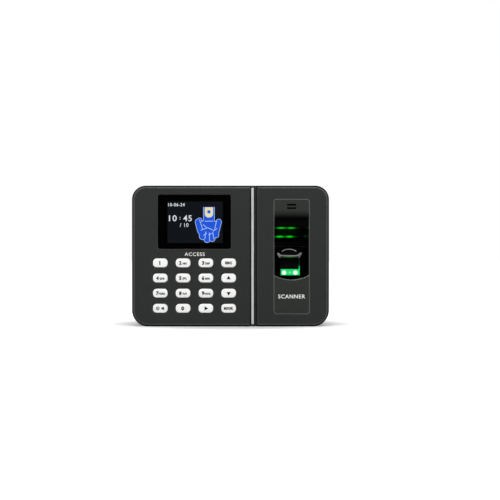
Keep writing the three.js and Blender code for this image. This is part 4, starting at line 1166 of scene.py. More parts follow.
@dataclass
class DisplayUnit:
    """Lens with a black printed border, the lit cell behind it and what the cell shows."""

    lens: Box
    face: float
    cell: tuple[float, float, float, float] = (-31.3, 92.35, 48.96, 36.72)
    edge: float = 0.25
    corner: float = 1.8
    layer: float = 0.01
    film: float = 0.02
    crease: float = 0.3

    def slab(self) -> None:
        """Make the acrylic lens: a flat slab with a small rounded edge."""
        b = self.lens
        levels = eased(lambda inset: b.ring(inset, self.corner - inset, 6), b.y1, b.y0, self.edge)
        lens = Shell().solid(levels).finish("acrylic_lens", PRINTED_ACRYLIC.build())
        dress(lens, "housing", "lens_acrylic", "display_lens")

    def picture(self) -> None:
        """Make the lit cell and its date, time and waiting hand."""
        x, z, width, height = self.cell
        front = self.lens.y0
        ring = rounded(x - width / 2, x + width / 2, z - height / 2, z + height / 2, 0.2, 2)
        texts = (
            ("10-06-24", 2.7, -47.8, 107.9, 0.07, 14.6), ("10", 5.1, -51.0, 95.9, 0.09, 6.9),
            (":", 3.2, -44.7, 95.9, 0.1, 0.0), ("45", 5.1, -38.0, 95.9, 0.09, 7.6),
            ("/ 10", 3.3, -41.0, 89.9, 0.03, 7.6),
        )
        signs = [
            lettering(text, size, at, up, front - self.layer, bold, room, self.film)
            for text, size, at, up, bold, room in texts
        ]
        cuff = rounded(-22.8, -15.4, 96.6, 105.6, (3.2, 3.2, 0.4, 0.4), 5)
        mark = circle(-19.1, 101.6, 1.5, 16)
        layers = (
            ("lit_cell", [prism(ring, front, self.film)], LIT_CELL),
            ("cell_text", signs, LIT_TEXT),
            ("hand_edge", self.hand(front - self.layer, 0.45), LIT_EDGE),
            ("hand_fill", self.hand(front - 2 * self.layer, 0.0), LIT_BLUE),
            ("hand_lines", self.lines(front - 3 * self.layer), LIT_EDGE),
            ("hand_cuff", [prism(cuff, front - 3 * self.layer, self.film)], LIT_CREAM),
            ("hand_mark", [prism(mark, front - 4 * self.layer, self.film)], LIT_BLUE),
        )
        for name, meshes, finish in layers:
            dress(gather(name, meshes, finish.build()), "housing", "lens_acrylic")

    def hand(self, y: float, grow: float) -> list[Mesh]:
        """Waiting hand with its wrist at the top, as rounded bars and a palm.

        Args:
            y: Depth of the layer.
            grow: Outward growth of every outline.

        Returns:
            The meshes of the layer.
        """
        bars = (
            (-26.2, 84.0, 9.0, 2.5, 105.0), (-28.5, 91.0, 3.4, 1.8, 70.0),
            (-12.6, 84.0, 9.0, 2.2, 76.0), (-24.6, 81.6, 1.8, 2.6, -95.0), (-20.6, 80.6, 3.4, 2.6, -92.0),
            (-16.4, 80.8, 2.8, 2.5, -88.0), (-13.0, 82.6, 1.6, 2.2, -80.0),
        )
        fingers = [
            prism(capsule(x, z, length, radius + grow, heading), y, self.film)
            for x, z, length, radius, heading in bars
        ]
        palm = rounded(-27.6 - grow, -11.2 + grow, 79.0 - grow, 93.5 + grow, 4.6, 6)
        wrist = rounded(-23.7 - grow, -14.5 + grow, 90.0, 105.9, 0.3, 2)
        return [*fingers, prism(palm, y, self.film), prism(wrist, y, self.film)]

    def lines(self, y: float) -> list[Mesh]:
        """Creases between fingers and across the palm, as thin bars."""
        strokes = (
            (-22.7, 77.6, 6.4, 82.0), (-18.6, 76.4, 6.6, 90.0), (-14.8, 77.6, 6.0, 98.0),
            (-26.2, 85.4, 5.0, 18.0), (-20.6, 87.6, 5.4, -22.0), (-24.2, 90.2, 4.4, -40.0),
            (-15.4, 84.4, 4.2, 34.0), (-23.8, 80.8, 3.2, 34.0), (-19.4, 81.2, 3.4, 22.0),
            (-24.6, 86.0, 9.0, 108.0), (-14.0, 86.0, 8.0, 78.0), (-22.4, 93.2, 7.0, 2.0),
        )
        return [
            prism(capsule(x, z, length, self.crease, heading, 4), y, self.film)
            for x, z, length, heading in strokes
        ]

    def build(self) -> None:
        """Make the lens, the picture and the word under the window."""
        self.slab()
        self.picture()
        word = lettering("ACCESS", 3.0, -31.7, 64.1, self.face, 0.03, 17.8)
        dress(gather("face_word", [word], WHITE_INK.build()), "housing", "front_paint")


# ------------------------------------------------------------------ sensor


@dataclass
class SensorUnit:
    """Sensor panel with its deep scoop, the finger stop, the dark glass and the lit guide."""

    panel: Box
    stop: Box
    glass: Box
    guide: Box
    recess_half: float = 15.4
    recess_top: float = 100.5
    scoop_end: float = 72.0
    depth: float = 18.0
    lip_low: float = 41.3
    lip_half: float = 10.6
    lip_end: float = 45.3
    corner: float = 2.8
    edge: float = 0.4
    lip_round: float = 0.35
    thickness: float = 2.5
    steep: tuple[float, float] = (0.5, 0.7)
    across: int = 61
    rows: int = 121
    slots_z: tuple[float, float] = (107.85, 104.9)
    slot_half: tuple[float, float] = (4.1, 0.8)
    slot_corner: float = 0.4
    slot_floor: float = 0.3
    tub_margin: float = 0.1
    tub_below: float = 2.0
    tub_above: float = 1.5
    window_gap: float = 0.2
    ledge_drop: float = 0.7
    ledge_reach: float = 0.75
    ledge_half: float = 0.28
    stop_waist: float = 9.0
    stop_arch: float = 8.4
    stop_shoulder: float = 4.0
    stop_sunk: float = 0.7
    stop_round: float = 0.5
    ridge_depth: float = 0.45
    ridge_left: float = 0.9
    glass_corner: float = 0.3
    guide_foot: float = 50.3
    guide_upright: float = 0.7

    def scoop(self, share: np.ndarray) -> np.ndarray:
        """Depth share of the scoop at shares of its height.

        The steepness rises as the cube of a smooth step, stays at one, then falls as a smooth
        step; the depth is its running sum divided by its total.

        Args:
            share: Shares of the height, from the top of the scoop to its end.

        Returns:
            Shares of the full depth.
        """
        t = np.linspace(0, 1, 2001)
        first, last = self.steep

        def ease(u: np.ndarray) -> np.ndarray:
            """Smooth step from 0 to 1."""
            u = np.clip(u, 0, 1)
            return u * u * (3 - 2 * u)

        slope = np.where(t < first, ease(t / first) ** 3, np.where(t > last, ease((1 - t) / (1 - last)), 1.0))
        total = np.concatenate([[0.0], np.cumsum((slope[1:] + slope[:-1]) / 2)])
        return np.interp(share, t, total / total[-1])

    def lip(self, x: np.ndarray) -> np.ndarray:
        """Height of the lower lip across the panel: a shallow arc between two straight shoulders."""
        far = np.abs(x - self.panel.x)
        arc = self.lip_low + 2.0 * (far / self.lip_half) ** 2
        slope = (self.lip_end - self.lip_low - 2.0) / (self.recess_half - self.lip_half)
        notch = 0.5 * np.exp(-((far - self.lip_half - 0.7) / 0.45) ** 2)
        return np.where(far <= self.lip_half, arc, self.lip_low + 2.0 + (far - self.lip_half) * slope) - notch

    def opening(self, grow: float) -> Ring:
        """Outline of the recess at the face, opened up by a distance."""
        half, top = self.recess_half + grow * 0.3, self.recess_top
        x = np.linspace(-half, half, self.across) + self.panel.x
        low = np.stack([x, self.lip(x) - grow], axis=-1)
        rise = self.heights()[:0:-1]
        right = np.stack([np.full(len(rise), x[-1]), rise], axis=-1)
        over = np.stack([x[::-1], np.full(self.across, top)], axis=-1)
        left = np.stack([np.full(len(rise), x[0]), rise[::-1]], axis=-1)
        return np.concatenate([low, right, over, left])

    def heights(self) -> np.ndarray:
        """Heights of the scoop's rows, from its top to its foot; the recess walls share them."""
        return np.linspace(self.recess_top, self.scoop_end, self.rows)

    def surface(self, ring: Ring) -> np.ndarray:
        """Depth of the scoop and floor behind each point of a ring."""
        share = (self.recess_top - ring[:, 1]) / (self.recess_top - self.scoop_end)
        return self.panel.y0 + self.depth * self.scoop(np.clip(share, 0, 1))

    def plate(self) -> None:
        """Make the panel: painted face, rounded edge, slots, scoop, floor and lower lip."""
        b, margin = self.panel, self.tub_margin
        back = b.y0 + self.thickness
        side = eased(lambda inset: b.ring(inset, self.corner - inset, 8), back, b.y0, self.edge)
        half_x, half_z = self.slot_half
        slots = [
            rounded(b.x - half_x, b.x + half_x, z - half_z, z + half_z, self.slot_corner, 3)
            for z in self.slots_z
        ]
        mouth = self.opening(self.lip_round)
        low, high = self.lip_low - self.tub_below, self.recess_top + self.tub_above
        tub = rounded(b.x0 + margin, b.x1 - margin, low, high, 1.0, 4)
        shell = Shell().wall(side).flat(b.y0, side[-1][0], [mouth, *slots]).flat(back, side[0][0], [tub])
        shell.wall([(tub, back), (tub, b.y1)]).flat(b.y1, tub, [self.window()])
        for slot in slots:
            floor = back - self.slot_floor
            shell.wall([(slot, b.y0), (slot, floor)]).flat(floor, slot)
        rows = []
        for turn in np.linspace(0, 1, 5) * math.pi / 2:
            edge = self.opening(self.lip_round * (1 - math.sin(turn)))
            depth = b.y0 + self.lip_round * (1 - math.cos(turn))
            depth = np.minimum(depth, np.maximum(self.surface(edge), b.y0))
            rows.append(np.column_stack([edge[:, 0], depth, edge[:, 1]]))
        inner = self.opening(0.0)
        rows.append(np.column_stack([inner[:, 0], self.surface(inner), inner[:, 1]]))
        shell.grid(np.stack(rows), closed=True)
        self.back_wall(shell)
        piece = shell.finish("sensor_panel_shell", PANEL_PAINT.build(), 40.0)
        dress(piece, "housing", "sensor_gloss", "sensor_panel")

    def window(self) -> Ring:
        """Opening in the floor for the glass and the lit guide."""
        gap = self.window_gap
        low, high = self.guide.z0 - gap, self.glass.z1 + gap
        return rounded(self.glass.x0 - gap, self.guide.x1 + gap, low, high, gap, 2)

    def back_wall(self, shell: Shell) -> None:
        """Add the scoop's curve and the floor round the window of the glass."""
        b, half, count = self.panel, self.recess_half, self.across
        height = self.heights()
        x = np.linspace(-half, half, count) + b.x
        depth = b.y0 + self.depth * self.scoop(np.linspace(0, 1, self.rows))
        rows = [np.column_stack([x, np.full(count, d), np.full(count, z)]) for d, z in zip(depth, height)]
        shell.grid(np.stack(rows))
        low = np.stack([x, self.lip(x)], axis=-1)
        top = np.stack([x[::-1], np.full(count, self.scoop_end)], axis=-1)
        floor = b.y0 + self.depth
        shell.flat(floor, np.concatenate([low, top]), [self.window()])
        shell.wall([(self.window(), floor), (self.window(), b.y1)])

    def ledge(self) -> None:
        """Make the thin rib across the foot of the scoop, a half-round bar."""
        half, z, floor = self.recess_half - 0.1, self.scoop_end - self.ledge_drop, self.panel.y0 + self.depth
        angle = np.linspace(0, 2 * math.pi, 17)[:-1]
        out, up = -self.ledge_reach * np.sin(angle), self.ledge_half * np.cos(angle)
        section = np.stack([np.zeros(16), out, up], axis=-1)
        ends = np.array([self.panel.x - half, self.panel.x + half])
        rows = [section + np.array([end, floor, z]) for end in ends]
        shell = Shell().grid(np.stack(rows), closed=True)
        for row in rows:
            shell.grid(np.stack([row, np.repeat(row.mean(axis=0)[None], 16, axis=0)]), closed=True)
        dress(shell.finish("scoop_ledge", LEDGE.build()), "housing", "sensor_gloss")

    def stop_outline(self, inset: float) -> Ring:
        """Outline of the finger stop: a boat with two ears and an arched top."""
        s = self.stop
        half, waist = s.width / 2 - inset * 1.4, self.stop_waist - inset
        foot, shoulder = s.z0 + inset, s.z0 + self.stop_shoulder
        angle = np.linspace(0, math.pi, 25)
        arch_half, arch, start = self.stop_arch - inset, s.z1 - shoulder - inset, shoulder - inset * 0.4
        top = np.stack([s.x + arch_half * np.cos(angle), start + arch * np.sin(angle)], axis=-1)
        base = np.array([[s.x - waist, foot], [s.x + waist, foot], [s.x + half, start]])
        return np.concatenate([base, top, [[s.x - half, start]]])

    def rest(self) -> None:
        """Make the finger stop: black body, hollowed front, ridges along tray and arch whose light grey is a
        painted highlight.
        """
        s = self.stop
        body = Shell().solid(eased(self.stop_outline, s.y1, s.y0 + self.stop_sunk, self.stop_round))
        dress(body.finish("finger_stop_body", STOP_BODY.build()), "housing", "stop_gloss", "finger_stop")
        front, x = s.y0 + self.ridge_depth, s.x - self.ridge_left
        bends = np.array([
            (-11.3, 64.9), (-10.0, 64.7), (-9.1, 63.9), (-8.2, 63.0), (-6.6, 62.75), (-3.0, 62.6),
            (0.0, 62.6), (3.0, 62.6), (6.6, 62.75), (8.2, 63.2), (9.2, 64.2), (10.2, 65.1), (11.3, 64.9),
        ])
        count, span = 97, 7
        steps = np.linspace(0, len(bends) - 1, count)
        kernel = np.ones(span) / span
        path = [np.interp(steps, np.arange(len(bends)), bends[:, axis]) for axis in (0, 1)]
        u, v = (np.convolve(np.pad(line, span // 2, mode="edge"), kernel, "valid") for line in path)
        tray = np.stack([u + x, np.full(count, front), v], axis=-1)
        angle = np.linspace(0.12, math.pi - 0.12, 49)
        arch_x, arch_z = x - 0.4 - 6.5 * np.cos(angle), 65.9 + 2.7 * np.sin(angle)
        arch = np.stack([arch_x, np.full(49, front), arch_z], axis=-1)
        shell = Shell()
        for path, radius in ((tray, 0.6), (arch, 0.38)):
            shell.grid(sweep(path, radius, 12, 0.55), closed=True)
        for side in (-1, 1):
            leg = np.linspace([x + side * 10.8, front + 0.1, 64.9], [x + side * 8.4, front + 0.1, 61.0], 24)
            shell.grid(sweep(leg, 0.8 if side < 0 else 0.5, 12, 0.4), closed=True)
        dress(shell.finish("finger_stop_ridges", STOP_RIDGE.build(), 60.0), "housing", "stop_gloss")

    def glow(self) -> None:
        """Make the dark glass and the lit guide as slabs with eased edges."""
        g, bar = self.glass, self.guide
        glass = Shell().solid(eased(lambda inset: g.ring(inset, self.glass_corner, 3), g.y1, g.y0, 0.25))
        dress(glass.finish("sensor_window", PRISM_GLASS.build()), "housing", "sensor_glass", "sensor_glass")
        left, low, right, high = bar.x0, bar.z0, bar.x1, bar.z1
        foot, thin = self.guide_foot, right - self.guide_upright

        def ring(i: float) -> Ring:
            """Outline of the guide's L, drawn in by a distance."""
            return np.array([
                [left + i, low + i], [right - i, low + i], [right - i, high - i], [thin + i, high - i],
                [thin + i, foot - i], [left + i, foot - i],
            ])

        guide = Shell().solid(eased(ring, bar.y1, bar.y0, 0.15, 2))
        dress(guide.finish("lit_guide", GUIDE.build()), "housing", "light", "light_guide")

    def build(self) -> None:
        """Make all pieces of the sensor."""
        self.plate()
        self.ledge()
        self.rest()
        self.glow()
        word = lettering("SCANNER", 3.4, self.panel.x, 26.7, self.panel.y0, 0.05, 23.8)
        dress(gather("sensor_word", [word], WHITE_INK.build()), "housing", "sensor_gloss")


# ------------------------------------------------------------------ rear housing and bracket


HOOKS_X = (-42.0, 42.0)


@dataclass
class RearHousing:
    """Black back shell: bevelled rim, recess for the wall plate, cable bay, screw wells, cutouts."""

    body: Box
    plate: Box
    usb: Box
    lock: Box
    tamper: Box
    reset: Box
    sockets: Sequence[Box]
    screws: Sequence[Box]
    corner_top: float = 12.3
    corner_bottom: float = 14.4
    wall: float = 2.2
    bevel: float = 2.2
    recess_gap: float = 0.6
    recess_floor: float = 16.2
    inner_back: float = 14.0
    bay: tuple[float, float, float, float] = (-36.0, 36.0, 20.0, 58.0)
    bay_floor: float = 2.4
    bay_wall: float = 1.8
    well: float = 3.0
    well_floor: float = 0.5
    well_bore: float = 1.7
    well_ease: float = 0.3
    post: float = 4.6
    foot_gap: float = 0.3
    recess_corner: float = 6.6
    hook_slot: tuple[float, float, float] = (5.0, 95.4, 100.4)
    bevel_steps: tuple[tuple[float, float], ...] = (
        (0.0, 2.2), (0.1, 1.9), (0.3, 1.6), (1.6, 0.3), (1.9, 0.1), (2.2, 0.0),
    )
    steps: int = 12
    clear: float = 0.3

    def outline(self, inset: float) -> Ring:
        """Outline of the shell, drawn in by a distance."""
        low, high = self.corner_bottom - inset, self.corner_top - inset
        return self.body.ring(inset, (low, low, high, high), self.steps)

    def skin(self, shell: Shell, inset: float, far: float, lock_ring: Ring) -> None:
        """Add the side wall at one inset, with the flat parts that carry the side cutouts.

        Args:
            shell: Shell that takes the wall.
            inset: Distance in from the outside.
            far: Depth at which the wall ends.
            lock_ring: Outline of the screw's hole in the lower wall.
        """
        ring, near, count = self.outline(inset), self.body.y0, self.steps + 1
        for part in (ring[:count], ring[count:]):
            shell.wall([(part, near), (part, far)], closed=False)
        left, low, foot, head = ring[0, 0], ring[:, 1].min(), ring[0, 1], ring[-1, 1]
        side = np.array([[near, foot], [far, foot], [far, head], [near, head]])
        first, last = ring[count - 1, 0], ring[count, 0]
        bottom = np.array([[first, near], [last, near], [last, far], [first, far]])
        shell.flat(left, side, [self.usb_ring()], Axis.X)
        shell.flat(low, bottom, [lock_ring], Axis.Z)

    def usb_ring(self) -> Ring:
        """Cutout of the side socket, in depth and height."""
        u, gap = self.usb, self.clear
        return rounded(u.y0 - gap, u.y1 + gap, u.z0 - gap, u.z1 + gap, 0.6, 4)

    def ceiling_rings(self) -> list[Ring]:
        """Cutouts in the bay's ceiling, across and in depth: one for each socket and the button."""
        low, high, gap = self.bay_floor + 0.2, self.inner_back - 0.2, self.clear
        rings = [
            rounded(s.x0 - gap, s.x1 + gap, max(s.y0 - gap, low), min(s.y1 + gap, high), 0.12, 2)
            for s in self.sockets
        ]
        return [*rings, circle(self.reset.x, self.reset.y, 2.05, 20)]

    def add_bay(self, shell: Shell) -> tuple[Ring, Ring]:
        """Add the cable bay: two nested pockets with pierced ceilings.

        Returns:
            Its outlines at the recess floor and at the inner back.
        """
        x0, x1, z0, z1 = self.bay
        rings, holes = [], self.ceiling_rings()
        for grow, mouth, floor, corner in (
            (0.0, self.recess_floor, self.bay_floor, 0.8),
            (self.bay_wall, self.inner_back, self.bay_floor - self.bay_wall, 1.4),
        ):
            ring = rounded(x0 - grow, x1 + grow, z0 - grow, z1 + grow, (corner, corner, 0.05, 0.05), 4)
            open_ring = np.roll(ring, -15, axis=0)
            shell.wall([(open_ring, mouth), (open_ring, floor)], closed=False)
            left, right = open_ring[0, 0], open_ring[-1, 0]
            lid = np.array([[left, floor], [right, floor], [right, mouth], [left, mouth]])
            shell.flat(z1 + grow, lid, holes, Axis.Z)
            shell.flat(floor, ring)
            rings.append(ring)
        for hole in holes:
            shell.wall([(hole, z1), (hole, z1 + self.bay_wall)], Axis.Z)
        return rings[0], rings[1]

    def add_well(self, shell: Shell, screw: Box) -> tuple[Ring, Ring]:
        """Add one screw well with its post.

        Returns:
            Outlines of the well at the rim and of the post at the inner back.
        """
        ease, rim, foot = self.well_ease, self.body.y1, self.body.y0 + self.foot_gap
        radii = (self.well, self.well_bore, self.post, self.well + ease)
        well, bore, post, mouth = (circle(screw.x, screw.z, radius, 28) for radius in radii)
        shell.wall([(mouth, rim), (well, rim - ease), (well, self.well_floor)])
        shell.flat(self.well_floor, well, [bore]).wall([(bore, self.well_floor), (bore, foot)])
        shell.flat(foot, post, [bore]).wall([(post, foot), (post, self.inner_back)])
        return mouth, post

    def build(self) -> Piece:
        """Make the shell.

        Returns:
            The finished shell.
        """
        b, p, gap = self.body, self.plate, self.recess_gap
        near, rim, shell = b.y0, b.y1, Shell()
        lock = circle(self.lock.x, self.lock.y, self.well, 28)
        lock_inner = np.column_stack([lock[:, 0], np.minimum(lock[:, 1], self.inner_back - 0.1)])
        self.skin(shell, 0.0, rim - self.bevel, lock)
        self.skin(shell, self.wall, self.inner_back, lock_inner)
        shell.wall([(lock, b.z0), (lock_inner, b.z0 + self.wall)], Axis.Z)
        usb = self.usb_ring()
        shell.wall([(usb, b.x0), (usb, b.x0 + self.wall)], Axis.X)
        shell.wall([(self.outline(inset), rim - drop) for inset, drop in self.bevel_steps])
        shell.flat(near, self.outline(0.0), [self.outline(self.wall)])
        recess = rounded(p.x0 - gap, p.x1 + gap, p.z0 - gap, p.z1 + gap, self.recess_corner, 10)
        wells, posts = zip(*(self.add_well(shell, screw) for screw in self.screws))
        bay_in, bay_out = self.add_bay(shell)
        half, low, high = self.hook_slot
        slots = [rounded(x - half, x + half, low, high, 0.5, 4) for x in HOOKS_X]
        slots.append(circle(self.tamper.x, self.tamper.z, self.tamper.width / 2 + 0.3, 24))
        shell.flat(rim, self.outline(self.bevel), [recess, *wells])
        shell.wall([(recess, rim), (recess, self.recess_floor)])
        shell.flat(self.recess_floor, recess, [bay_in, *slots])
        shell.flat(self.inner_back, self.outline(self.wall), [bay_out, *slots, *posts])
        for slot in slots:
            shell.wall([(slot, self.recess_floor), (slot, self.inner_back)])
        piece = shell.finish("rear_housing_shell", BACK_ABS.build())
        return dress(piece, "housing", "rear_plastic", "rear_housing")


@dataclass
class Bracket:
    """Pressed steel wall plate with a cable window, four screw holes, two hooks and a lock tab."""

    plate: Box
    thickness: float = 1.5
    corner: float = 6.0
    edge: float = 0.2
    window: tuple[float, float, float, float] = (-33.0, 33.0, 22.5, 55.5)
    hole_radius: float = 2.3
    holes_x: tuple[float, float] = (-60.7, 60.7)
    holes_z: tuple[float, float] = (16.0, 99.0)
    hook_half: float = 4.5
    tab: tuple[float, float, float] = (-9.0, 9.0, 8.0)
    tab_bore: tuple[float, float] = (12.25, 1.7)

    def build(self) -> Piece:
        """Make the plate.

        Returns:
            The finished plate.
        """
        p, back = self.plate, self.plate.y1
        front, edge = back - self.thickness, self.edge
        whole, eased_in = (p.ring(inset, self.corner - inset, 10) for inset in (0.0, edge))
        holes = [rounded(*self.window, 3.0, 8)]
        holes += [circle(x, z, self.hole_radius, 28) for x in self.holes_x for z in self.holes_z]
        side = [(eased_in, front), (whole, front + edge), (whole, back - edge), (eased_in, back)]
        shell = Shell().wall(side)
        shell.flat(front, eased_in, holes).flat(back, eased_in, holes)
        for hole in holes:
            shell.wall([(hole, front), (hole, back)])
        hook = np.array([
            (front, 96.0), (13.1, 96.0), (12.55, 96.25), (12.3, 96.8), (12.3, 99.6), (12.5, 99.9),
            (13.3, 99.9), (13.5, 99.6), (13.5, 97.4), (13.8, 97.2), (front, 97.2),
        ])
        for x in HOOKS_X:
            near, far = x - self.hook_half, x + self.hook_half
            shell.wall([(hook, near), (hook, far)], Axis.X)
            shell.flat(near, hook, axis=Axis.X).flat(far, hook, axis=Axis.X)
        tab = rounded(*self.tab, front, (1.6, 1.6, 0.05, 0.05), 5)
        bore = circle(0.0, *self.tab_bore, 24)
        low, high = p.z0, p.z0 + self.thickness
        for ring in (tab, bore):
            shell.wall([(ring, low), (ring, high)], Axis.Z)
        shell.flat(low, tab, [bore], Axis.Z).flat(high, tab, [bore], Axis.Z)
        return dress(shell.finish("wall_bracket", ZINC.build()), "housing", "bracket", "wall_plate")


# ------------------------------------------------------------------ sockets, screws and buttons


@dataclass
class Socket:
    """Moulded or folded shell with pockets sunk from its mouth."""

    name: str
    node: str
    slot: str
    box: Box
    axis: Axis
    skin: Finish
    pockets: Sequence[Ring]
    depth: float
    corner: float = 0.5
    contacts: Sequence[Box] = ()
    contact_skin: Finish | None = None

    def build(self) -> None:
        """Make the shell, then its contacts or its pin."""
        b, shell = self.box, Shell(self.axis)
        if self.axis is Axis.X:
            u0, u1, v0, v1, near, far = b.y0, b.y1, b.z0, b.z1, b.x0, b.x1
        else:
            u0, u1, v0, v1, near, far = b.x0, b.x1, b.y0, b.y1, b.z0, b.z1

        def ring(inset: float) -> Ring:
            """Outline of the block's face, drawn in by a distance."""
            return rounded(u0 + inset, u1 - inset, v0 + inset, v1 - inset, self.corner, 5)

        shell.wall([(ring(0.2), near), (ring(0.0), near + 0.2), (ring(0.0), far)]).flat(far, ring(0.0))
        shell.flat(near, ring(0.2), list(self.pockets))
        for pocket in self.pockets:
            shell.wall([(pocket, near), (pocket, near + self.depth)]).flat(near + self.depth, pocket)
        dress(shell.finish(self.name, self.skin.build()), "housing", self.slot, self.node)
        if self.contacts and self.contact_skin:
            metal = Shell(Axis.Z)
            for c in self.contacts:
                side = rounded(c.x0, c.x1, c.y0, c.y1, 0.12, 3)
                metal.solid([(side, c.z0), (side, c.z1)])
            dress(metal.finish(f"{self.name}_contacts", self.contact_skin.build()), "housing", self.slot)


@dataclass
class Screw:
    """Pan-head screw with a cross recess, turned about its axis."""

    node: str
    slot: str
    box: Box
    axis: Axis
    outward: float
    head_height: float = 1.8
    shank_share: float = 0.5
    recess: float = 0.9
    pitch: float = 0.7
    dome: float = 0.22
    crown_share: float = 0.94
    bar: tuple[float, float] = (0.17, 0.08)
    cross: tuple[float, float] = (0.6, 0.12)
    steps: int = 64

    def build(self) -> None:
        """Make the head as a polar grid of heights, then the side, the grooved shank and the tip.

        The dome falls with the square of the radius. The recess is a cross of two bars whose
        depth lessens towards their ends.
        """
        b = self.box
        low, high = (b.y0, b.y1) if self.axis is Axis.Y else (b.z0, b.z1)
        middle = (b.x, b.z) if self.axis is Axis.Y else (b.x, b.y)
        length, radius = high - low, b.width / 2
        top = high if self.outward > 0 else low
        angle = np.arange(self.steps) * 2 * math.pi / self.steps
        r = np.linspace(0, radius * self.crown_share, 26)[:, None]
        u, v = r * np.cos(angle), r * np.sin(angle)
        thin, wide = np.minimum(abs(u), abs(v)), np.maximum(abs(u), abs(v))
        (bar_half, bar_soft), (cross_half, cross_soft) = self.bar, self.cross
        bar = np.clip((bar_half * radius - thin) / (bar_soft * radius) + 0.5, 0, 1)
        end = np.clip((cross_half * radius - wide) / (cross_soft * radius) + 0.5, 0, 1)
        sunk = self.recess * bar * end * (1 - cross_half * wide / radius)
        drop = self.dome * (u ** 2 + v ** 2) / radius ** 2 + sunk
        rows = [np.stack([u, v, drop], axis=-1)]
        shank = radius * self.shank_share
        side = [(radius * 0.985, 0.34), (radius, 0.55), (radius, self.head_height), (shank, self.head_height)]
        turns = np.arange(self.head_height + 0.3, length - 1.0, self.pitch / 2)
        side += [(shank * (1.0 if i % 2 else 0.86), float(h)) for i, h in enumerate(turns)]
        side += [(shank * 0.55, length - 0.3), (0.01, length)]
        for size, height in side:
            level = np.full(self.steps, height)
            rows.append(np.stack([size * np.cos(angle), size * np.sin(angle), level], axis=-1)[None])
        grid = np.concatenate(rows)
        grid[..., 0] += middle[0]
        grid[..., 1] += middle[1]
        grid[..., 2] = top - self.outward * grid[..., 2]
        shell = Shell().grid(grid[..., list(self.axis.value)], closed=True)
        tip = grid[-1, :, list(self.axis.value)].T
        shell.grid(np.stack([tip, np.repeat(tip.mean(axis=0)[None], self.steps, axis=0)]), closed=True)
        dress(shell.finish(f"{self.node}_turned", NICKEL.build()), "housing", self.slot, self.node)


def turned(name: str, body: str, slot: str, node: str, box: Box, axis: Axis, profile: np.ndarray) -> None:
    """Make a round button from a profile of radius and place along its axis.

    Args:
        name: Name of the piece.
        body: Body it rides on.
        slot: Material slot.
        node: Node it replaces.
        box: Box of the node.
        axis: Axis of the button.
        profile: Pairs of radius and place along the axis.
    """
    middle = (box.x, box.z) if axis is Axis.Y else (box.x, box.y)
    rings = [(circle(*middle, float(radius), 36), float(place)) for radius, place in profile]
    dress(Shell(axis).solid(rings).finish(name, ACETAL.build()), body, slot, node)


def build_sockets() -> None:
    """Make the four sockets of the cable bay and the side wall."""
    usb, net = Box.of("usb_port"), Box.of("ethernet_jack")
    jack, rail = Box.of("power_jack"), Box.of("terminal_block")
    mouth = rounded(usb.y0 + 0.45, usb.y1 - 0.45, usb.z0 + 0.45, usb.z1 - 0.45, 0.3, 3)
    tongue = Box(usb.x0 + 0.8, usb.y0 + 3.3, usb.z0 + 1.6, usb.x0 + 9.0, usb.y0 + 5.2, usb.z1 - 1.6)
    Socket("usb_shell", "usb_port", "connector_metal", usb, Axis.X, TINPLATE, [mouth], 9.0, 0.7,
           [tongue], BLACK_NYLON).build()
    mid = net.y0 + 6.0
    wide, step, latch = 5.9, 3.2, 1.6
    low, shoulder, neck, top = -3.6, 2.4, 3.6, 4.8
    right = [(wide, low), (wide, shoulder), (step, shoulder), (step, neck), (latch, neck), (latch, top)]
    left = [(-u, v) for u, v in reversed(right)]
    outline = np.array([left[-1], *right, *left[:-1]]) + (net.x, mid)
    wires = [
        Box(net.x + x - 0.16, mid - 3.5, net.z0 + 1.5, net.x + x + 0.16, mid - 2.6, net.z0 + 11.0)
        for x in (np.arange(8) - 3.5) * 1.02
    ]
    Socket("network_shell", "ethernet_jack", "connector_metal", net, Axis.Z, TINPLATE, [outline], 11.5, 0.5,
           wires, GOLD).build()
    bore = circle(jack.x, jack.y0 + 5.6, 3.2, 32)
    pin = Box(jack.x - 1.0, jack.y0 + 4.6, jack.z0 + 1.0, jack.x + 1.0, jack.y0 + 6.6, jack.z0 + 8.5)
    Socket("power_shell", "power_jack", "inner_plastic", jack, Axis.Z, BLACK_NYLON, [bore], 9.0, 0.6,
           [pin], NICKEL).build()
    pitch = rail.width / 6
    places = rail.x0 + pitch * (np.arange(6) + 0.5)
    entries = [rounded(x - 1.25, x + 1.25, rail.y0 + 1.2, rail.y0 + 4.4, 0.3, 3) for x in places]
    clamps = [
        Box(x - 1.1, rail.y0 + 2.6, rail.z0 + 1.4, x + 1.1, rail.y0 + 3.3, rail.z0 + 5.0) for x in places
    ]
    Socket("wire_terminals", "terminal_block", "terminal", rail, Axis.Z, GREEN_NYLON, entries, 6.0, 0.4,
           clamps, NICKEL).build()


def build_screws_and_buttons() -> None:
    """Make case screws, lock screw, board screws and the two buttons."""
    for kind, count, head in (("case_screw", 4, 1.8), ("board_screw", 2, 1.4)):
        for index in range(1, count + 1):
            node = f"{kind}_{index}"
            Screw(node, "steel", Box.of(node), Axis.Y, 1.0, head).build()
    Screw("lock_screw", "steel", Box.of("lock_screw"), Axis.Z, -1.0).build()
    button, plunger = Box.of("reset_button"), Box.of("tamper_plunger")
    turned("reset_cap", "reset_button", "button", "reset_button", button, Axis.Z, np.array([
        (1.25, button.z0), (1.55, button.z0 + 0.08), (1.75, button.z0 + 0.3), (1.75, button.z1 - 0.8),
        (button.width / 2, button.z1 - 0.8), (button.width / 2, button.z1),
    ]))
    radius = plunger.width / 2
    turned("tamper_pin", "tamper_plunger", "button", "tamper_plunger", plunger, Axis.Y, np.array([
        (radius, plunger.y0), (radius, plunger.y1 - 0.5), (radius - 0.15, plunger.y1 - 0.15),
        (radius - 0.5, plunger.y1),
    ]))


